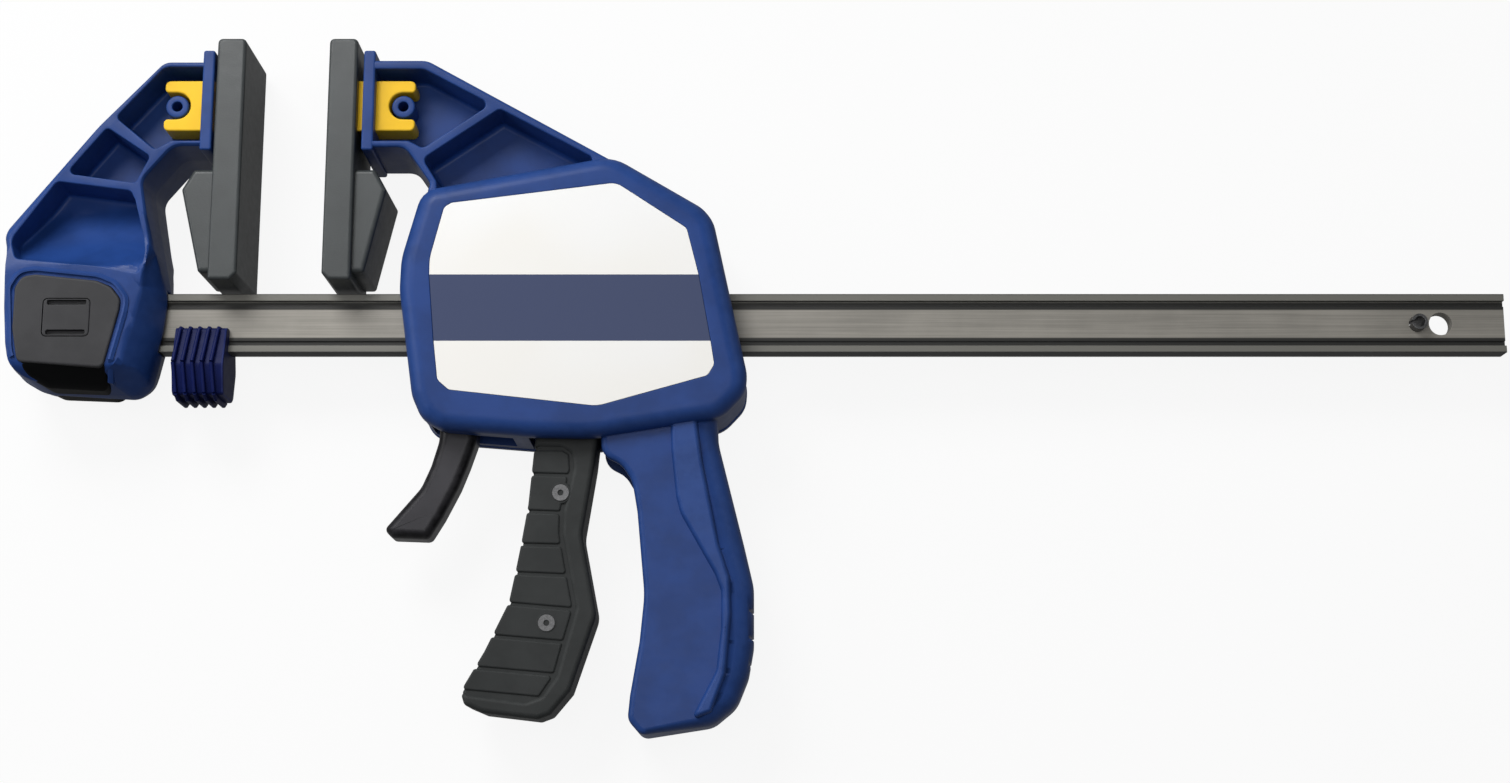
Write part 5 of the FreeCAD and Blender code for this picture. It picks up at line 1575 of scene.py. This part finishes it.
@dataclass
class Trigger:
    """The trigger's two halves with finger pads, its rivets and steel fork."""

    half: float = 11.0
    split: float = 0.03
    base_drop: float = 0.9
    base_inset: float = 0.6
    groove: float = 0.8
    pad_drop: float = 0.15
    rivet_radius: float = 3.0
    rivet_bore: float = 1.1
    rivet_proud: float = 0.3
    rivet_seat: float = 4.1
    seat_drop: float = 0.1
    sharp: float = 45.0

    LEFT = ((110.4, -38.0), (107.7, -69.0), (105.1, -85.0), (101.6, -104.0), (93.0, -122.0), (84.7, -136.4))
    FOOT = ((86.1, -141.0), (93.0, -143.9), (112.5, -146.2), (117.0, -144.5))
    RIGHT = ((123.9, -136.2), (133.0, -109.0), (127.4, -80.1), (131.5, -54.1), (133.2, -38.0))
    BORDER = ((119.6, -48.2), (123.0, -50.6), (123.4, -56.0), (121.7, -63.7), (120.0, -71.8), (119.9, -79.8),
              (122.6, -93.6), (125.2, -106.6), (121.4, -120.2), (118.6, -130.8), (113.6, -137.8))
    BORDER_END = ((108.0, -139.8), (88.5, -137.2))
    BORDER_START = (109.4, -47.9)
    # The heights of each groove at its left and right ends.
    GROOVES = ((-57.8, -58.2), (-71.4, -71.9), (-83.5, -83.9), (-93.9, -94.7), (-104.9, -106.9),
               (-116.5, -118.7), (-127.8, -130.3))
    FIRST_PAD, LAST_PAD = (-48.6, -48.6), (-136.0, -138.6)
    RIVETS = ((119.4, -64.7), (115.1, -111.9))

    @staticmethod
    def _x_on(line: Sequence[Point], y: float) -> float:
        """Find where a line that runs down is at a height.

        Args:
            line: its points.
            y: the height.

        Returns:
            The place along X.
        """
        for (xa, ya), (xb, yb) in zip(line, line[1:]):
            if ya >= y >= yb:
                return xa + (xb - xa) * (ya - y) / (ya - yb)
        return line[0][0] if y > line[0][1] else line[-1][0]

    def _pads(self) -> list[Outline]:
        """Lay out the finger pads between the grooves.

        Returns:
            Their outlines.
        """
        edges = [self.FIRST_PAD, *self.GROOVES, self.LAST_PAD]
        pads = []
        for (left_top, right_top), (left_low, right_low) in zip(edges, edges[1:]):
            a, b = left_top - self.groove / 2, left_low + self.groove / 2
            c, d = right_low + self.groove / 2, right_top - self.groove / 2
            left = [(self._x_on(self.LEFT, a), a)]
            left += [spot for spot in self.LEFT if b + 1 < spot[1] < a - 1]
            left += [(self._x_on(self.LEFT, b), b)]
            right = [(self._x_on(self.BORDER, c) - self.groove, c)]
            right += [(x - self.groove, y) for x, y in reversed(self.BORDER) if c + 1 < y < d - 1]
            right += [(self._x_on(self.BORDER, d) - self.groove, d)]
            pads.append(Outline.of(left + right, 1.1, steps=3))
        return pads

    def build(self) -> None:
        """Make and dress the trigger's pieces."""
        whole = [*self.LEFT, *self.FOOT, *self.RIGHT]
        outline = Outline.of(whole, 6.0, {0: 0.6, 5: 2.5, 6: 3, 7: 8, 9: 5, 11: 9, 12: 12, 14: 0.6})
        edge = [self.LEFT[0], self.BORDER_START, *self.BORDER, *self.BORDER_END, self.LEFT[-1], *self.FOOT,
                *self.RIGHT]
        last = len(edge) - 1
        border = Outline.of(edge, 2.5, {0: 0.6, 1: 0.5, last: 0.6, last - 3: 9, last - 2: 12})
        for name, side in SIDES:
            shell = Shell()
            for shape, top, rounding in self._layers(outline, border):
                shell.layer(shape, self.split, top, side, rounding, Round(0.05, 0.02, 1))
            piece = shell.piece("trigger_shell_" + name, self.sharp)
            dress(piece, Slot.trigger_plastic, "trigger", "trigger_half_" + name)
        self._rivets()
        paint("trigger_core", Slot.plate_steel)

    def _layers(self, outline: Outline, border: Outline) -> list[tuple[Outline, float, Round]]:
        """List the layers of a half.

        Args:
            outline: the half's outline.
            border: the border's outline.

        Returns:
            Each layer's outline, level and edge.
        """
        layers = [(outline.inset(self.base_inset), self.half - self.base_drop, Round(1.6, 1.6, 3)),
                  (border, self.half, Round(2.0, 2.2, 5))]
        layers += [(pad, self.half - self.pad_drop, Round(0.8, 0.9, 3)) for pad in self._pads()]
        seats = [Outline.circle(x, y, self.rivet_seat) for x, y in self.RIVETS]
        return layers + [(seat, self.half - self.seat_drop, Round(0.5, 0.6, 3)) for seat in seats]

    def _rivets(self) -> None:
        """Make and dress the tubular rivets."""
        sizes = {"Radius": self.rivet_radius, "Bore": self.rivet_bore,
                 "Length": 2 * (self.half + self.rivet_proud)}
        tree = Repeats("trigger_rivet_set", sizes)
        length = tree.size("Length")
        bore = tree.rod(24, tree.size("Bore"), length * 2.0)
        tube = tree.drilled(tree.rod(40, tree.size("Radius"), length), bore)
        (ax, ay), (bx, by) = self.RIVETS
        marks = tree.node("GeometryNodeMeshLine", {"mode": "OFFSET"},
                          {"Count": 2, "Start Location": (ax, ay, 0), "Offset": (bx - ax, by - ay, 0)})
        copies = tree.node("GeometryNodeInstanceOnPoints", None, {"Points": marks, "Instance": tube})
        dress(tree.run(copies, Slot.pin_steel), Slot.pin_steel, "trigger", "trigger_rivets")


@dataclass
class ReleaseLever:
    """The glossy release lever."""

    half: float = 8.0
    sharp: float = 60.0

    OUTLINE = Outline.of(
        ((78.0, -18.0), (88.0, -18.0), (89.0, -30.0), (87.8, -45.0), (84.8, -54.0), (81.7, -62.0),
         (76.2, -73.0), (71.4, -81.0), (58.0, -80.5), (55.0, -77.4), (62.5, -68.5), (68.0, -62.0),
         (71.4, -54.0), (74.0, -45.0), (75.0, -30.0)),
        12.0, {0: 1, 1: 1, 7: 2.5, 8: 1.8, 9: 1.8}, steps=4)

    def build(self) -> None:
        """Make and dress the lever and the plate in it."""
        shell = Shell()
        shell.slab(self.OUTLINE, -self.half, self.half, Round(3.5, 4.0, 6))
        moulding = shell.piece("release_lever_moulding", self.sharp)
        dress(moulding, Slot.lever_plastic, "release_lever", "release_lever")
        paint("brake_plate", Slot.plate_steel)


@dataclass
class BarClip:
    """The ribbed saddle clipped under the bar."""

    left: float = -24.0
    right: float = -5.0
    ribs: int = 5
    pitch: float = 3.5
    rib: float = 1.35
    grow: float = 1.8
    lean: float = 0.09

    # Half of each section across the bar, as places along Y and Z.
    RIM = ((-2.5, 3.2), (-2.5, 6.4), (-3.4, 7.4), (-16.2, 11.1), (-17.8, 11.2), (-27.0, 8.8), (-28.0, 7.6))
    HOLLOW = ((-8.4, -3.2), (-8.4, -4.2), (-11.3, -4.2), (-11.3, 4.2), (-8.4, 4.2), (-8.4, 3.2))
    RIB_PATH = ((-3.2, 5.0), (-3.4, 7.8), (-16.4, 12.0), (-27.2, 9.6), (-28.8, 6.4))
    # How far the left end's rings are from it, how far they come in and how much of the edge colour, a
    # painted highlight, they take; then the right end's.
    LEFT_END = ((0.0, 0.5, 0.0), (0.15, 0.15, 0.6), (0.5, 0.0, 0.0))
    RIGHT_END = ((-0.9, 0.0, 0.0), (-0.25, 0.3, 0.6), (0.0, 0.9, 0.0))
    CREASE = -17.0

    def build(self) -> None:
        """Make and dress the clip."""
        shell = Shell()
        loop = [*self.RIM, *((y, -z) for y, z in reversed(self.RIM)), *self.HOLLOW]
        ends = [(self.left, *row) for row in self.LEFT_END] + [(self.right, *row) for row in self.RIGHT_END]
        rings = []
        for end, off, inset, wear_and_light in ends:
            spots = [(end + off, y * (1 - inset / 30), z * (1 - inset / 12)) for y, z in loop]
            rings.append(shell.ring(spots, wear_and_light))
        shell.skin(rings)
        shell.cap(rings[0])
        shell.cap(rings[-1])
        dress(shell.piece("clip_saddle"), Slot.clip_plastic, "bar_clip", "bar_clip")
        self._ribs()

    def _ribs(self) -> None:
        """Make and dress the slanting ribs."""
        tree = Repeats("clip_rib_set", {"Pitch": self.pitch, "Rib": self.rib, "Grow": self.grow})
        path = [*self.RIB_PATH, *((y, -z) for y, z in reversed(self.RIB_PATH))]
        spots = [(abs(y - self.CREASE) * self.lean, y, z) for y, z in path]
        runs = []
        for start, end in zip(spots, spots[1:]):
            ends = {"Start": start, "End": end}
            line = tree.node("GeometryNodeCurvePrimitiveLine", {"mode": "POINTS"}, ends)
            sockets = {"Curve": line, "Profile Curve": self._section(tree), "Fill Caps": True}
            runs.append(tree.node("GeometryNodeCurveToMesh", None, sockets))
        marks = tree.node("GeometryNodeMeshLine", {"mode": "OFFSET"},
                          {"Count": self.ribs, "Start Location": (self.left + self.rib / 2 + 0.1, 0, 0),
                           "Offset": tree.along(tree.size("Pitch"))})
        sockets = {"Points": marks, "Instance": tree.joined(runs)}
        copies = tree.node("GeometryNodeInstanceOnPoints", None, sockets)
        dress(tree.run(copies, Slot.clip_plastic), Slot.clip_plastic, "bar_clip")

    def _section(self, tree: Repeats) -> Wire:
        """A rib's rounded section."""
        box = tree.node("GeometryNodeCurvePrimitiveQuadrilateral", {"mode": "RECTANGLE"},
                        {"Width": tree.size("Rib"), "Height": tree.size("Grow") * 1.4})
        sockets = {"Curve": box, "Count": 3, "Radius": 0.5}
        return tree.node("GeometryNodeFilletCurve", {"mode": "POLY"}, sockets)


@dataclass
class Inside:
    """The pieces that are hidden or seen through gaps: plates, pins and springs."""

    def build(self) -> None:
        """Dress the inner pieces."""
        paint("drive_plates", Slot.plate_steel)
        paint("trigger_pivot_pin", Slot.pin_steel)
        paint("lever_pivot_pin", Slot.pin_steel)
        Spring("drive_spring", "moving_jaw", "drive_push", coil=28.2, wire=1.6, length=33.5, turns=6,
               keep=0.866, start=(137.6, 0, 0), along_x=True, anchor=(171.1, 0, 0)).build()
        Spring("brake_spring", "moving_jaw", "release_pull", coil=7.0, wire=0.9, length=13.9, turns=5,
               keep=0.56, start=(89.1, -21.0, 0), along_x=True, anchor=(103.0, -21.0, 0)).build()
        Spring("button_spring", "release_button", "button_press", coil=6.8, wire=0.7, length=11.8, turns=5,
               keep=0.475, start=(-60.4, 0, 5.2), along_x=False, anchor=(-60.4, 0, 17.0)).build()


@dataclass
class Studio:
    """A pale floor, soft lamps and the camera."""

    floor: float = -22.0
    floor_size: float = 6000.0
    floor_gap: float = 0.3
    paper_lit: float = 0.12
    paper_seen: float = 0.72
    glow: float = 0.9
    sky: float = 0.09
    aim: tuple[float, float, float] = (189.84, -25.07, 0.0)
    distance: float = 870.0
    pitch: float = 11.5
    focal_px: float = 2350.0
    image_px: tuple[int, int] = (1510, 783)
    sensor: float = 36.0
    gloss_white: float = 0.25

    WHITE = (1, 1, 1, 1)
    SKY_TINT = (0.92, 0.95, 1.0, 1)
    # Each lamp's name, place, size and power in watts.
    LAMPS = (
        ("key", (-240, 620, 740), 460, 7.4),
        ("side", (980, 320, 460), 420, 0.5),
        ("left", (-640, 160, 460), 420, 1.9),
        ("over", (160, -60, 1000), 620, 2.6),
    )

    def build(self) -> None:
        """Set up the floor, the world, the lamps and the camera."""
        self._floor()
        self._world()
        for name, spot, size, power in self.LAMPS:
            self._lamp(name, spot, size, power)
        self._camera()
        bpy.context.scene.view_settings.view_transform = "Standard"

    def _seen(self, graph: Graph, rays: bpy.types.Node) -> Wire:
        """How white the surround is to a ray: fully to the camera and through glass, in part to a gloss."""
        camera, glass, gloss = (Wire(graph, rays.outputs[f"Is {kind} Ray"])
                                for kind in ("Camera", "Transmission", "Glossy"))
        return camera + glass + gloss * self.gloss_white

    def _floor(self) -> None:
        """A pale floor that looks white and keeps a faint shadow."""
        graph = SurfaceGraph("floor_paper")
        rays = graph.tree.nodes.new("ShaderNodeLightPath")
        tint = self.paper_lit + Wire(graph, rays.outputs["Is Camera Ray"]) * self.paper_seen
        paper = graph.node("ShaderNodeBsdfDiffuse", None, {"Color": tint})
        glow = graph.node("ShaderNodeEmission", None, {"Color": self.WHITE, "Strength": 1.0})
        mixed = {0: self._seen(graph, rays) * self.glow, 1: paper, 2: glow}
        surface = graph.node("ShaderNodeMixShader", None, mixed)
        graph.node("ShaderNodeOutputMaterial", None, {"Surface": surface})
        mesh = bpy.data.meshes.new("floor")
        half = self.floor_size / 2 * MM
        level = (self.floor - self.floor_gap) * MM
        corners = [(-half, -half, level), (half, -half, level), (half, half, level), (-half, half, level)]
        mesh.from_pydata(corners, [], [(0, 1, 2, 3)])
        mesh.materials.append(graph.material)
        linked("floor", mesh)

    def _world(self) -> None:
        """A white surround that lights the part softly."""
        world = bpy.data.worlds.new("surround")
        world.use_nodes = True
        bpy.context.scene.world = world
        graph = Graph(world.node_tree)
        world.node_tree.nodes.clear()
        rays = graph.tree.nodes.new("ShaderNodeLightPath")
        seen = self._seen(graph, rays)
        soft = graph.node("ShaderNodeBackground", None, {"Color": self.SKY_TINT, "Strength": self.sky})
        white = graph.node("ShaderNodeBackground", None, {"Color": self.WHITE, "Strength": 1.0})
        surface = graph.node("ShaderNodeMixShader", None, {0: seen, 1: soft, 2: white})
        graph.node("ShaderNodeOutputWorld", None, {"Surface": surface})

    def _lamp(self, name: str, spot: tuple[float, float, float], size: float, power: float) -> None:
        """Add a square soft lamp that points at the part.

        Args:
            name: its name.
            spot: its place.
            size: its width.
            power: its power in watts.
        """
        data = bpy.data.lights.new(name, "AREA")
        data.shape = "SQUARE"
        data.size = size * MM
        data.energy = power
        lamp = linked(name, data)
        lamp.location = Vector(spot) * MM
        way = (Vector(self.aim) - Vector(spot)) * MM
        lamp.rotation_euler = way.to_track_quat("-Z", "Y").to_euler()

    def _camera(self) -> None:
        """The camera, above the part and a little towards the handle."""
        data = bpy.data.cameras.new("camera")
        data.sensor_width = self.sensor
        data.lens = self.focal_px / self.image_px[0] * self.sensor
        data.clip_start = 0.01
        camera = linked("camera", data)
        lean = math.radians(self.pitch)
        away = Vector((0, -math.sin(lean), math.cos(lean))) * self.distance
        camera.location = (Vector(self.aim) + away) * MM
        camera.rotation_euler = (lean, 0, 0)
        bpy.context.scene.camera = camera


def main() -> None:
    """Build every sub-assembly in order."""
    logging.basicConfig(level=logging.INFO, format="%(name)s: %(message)s")
    fixed, moving = FixedJaw(), JawFrame()
    parts = [
        Bar(), fixed, Boot(), Button(), Pad("fixed_pad", fixed.tip, 0.0, "fixed_pad"), moving,
        Pad("moving_pad", moving.tip, 31.0, "moving_pad"), Housing(), Screws(), Trigger(), ReleaseLever(),
        BarClip(), Inside(), Studio(),
    ]
    for part in parts:
        part.build()


if __name__ == "__main__":
    main()
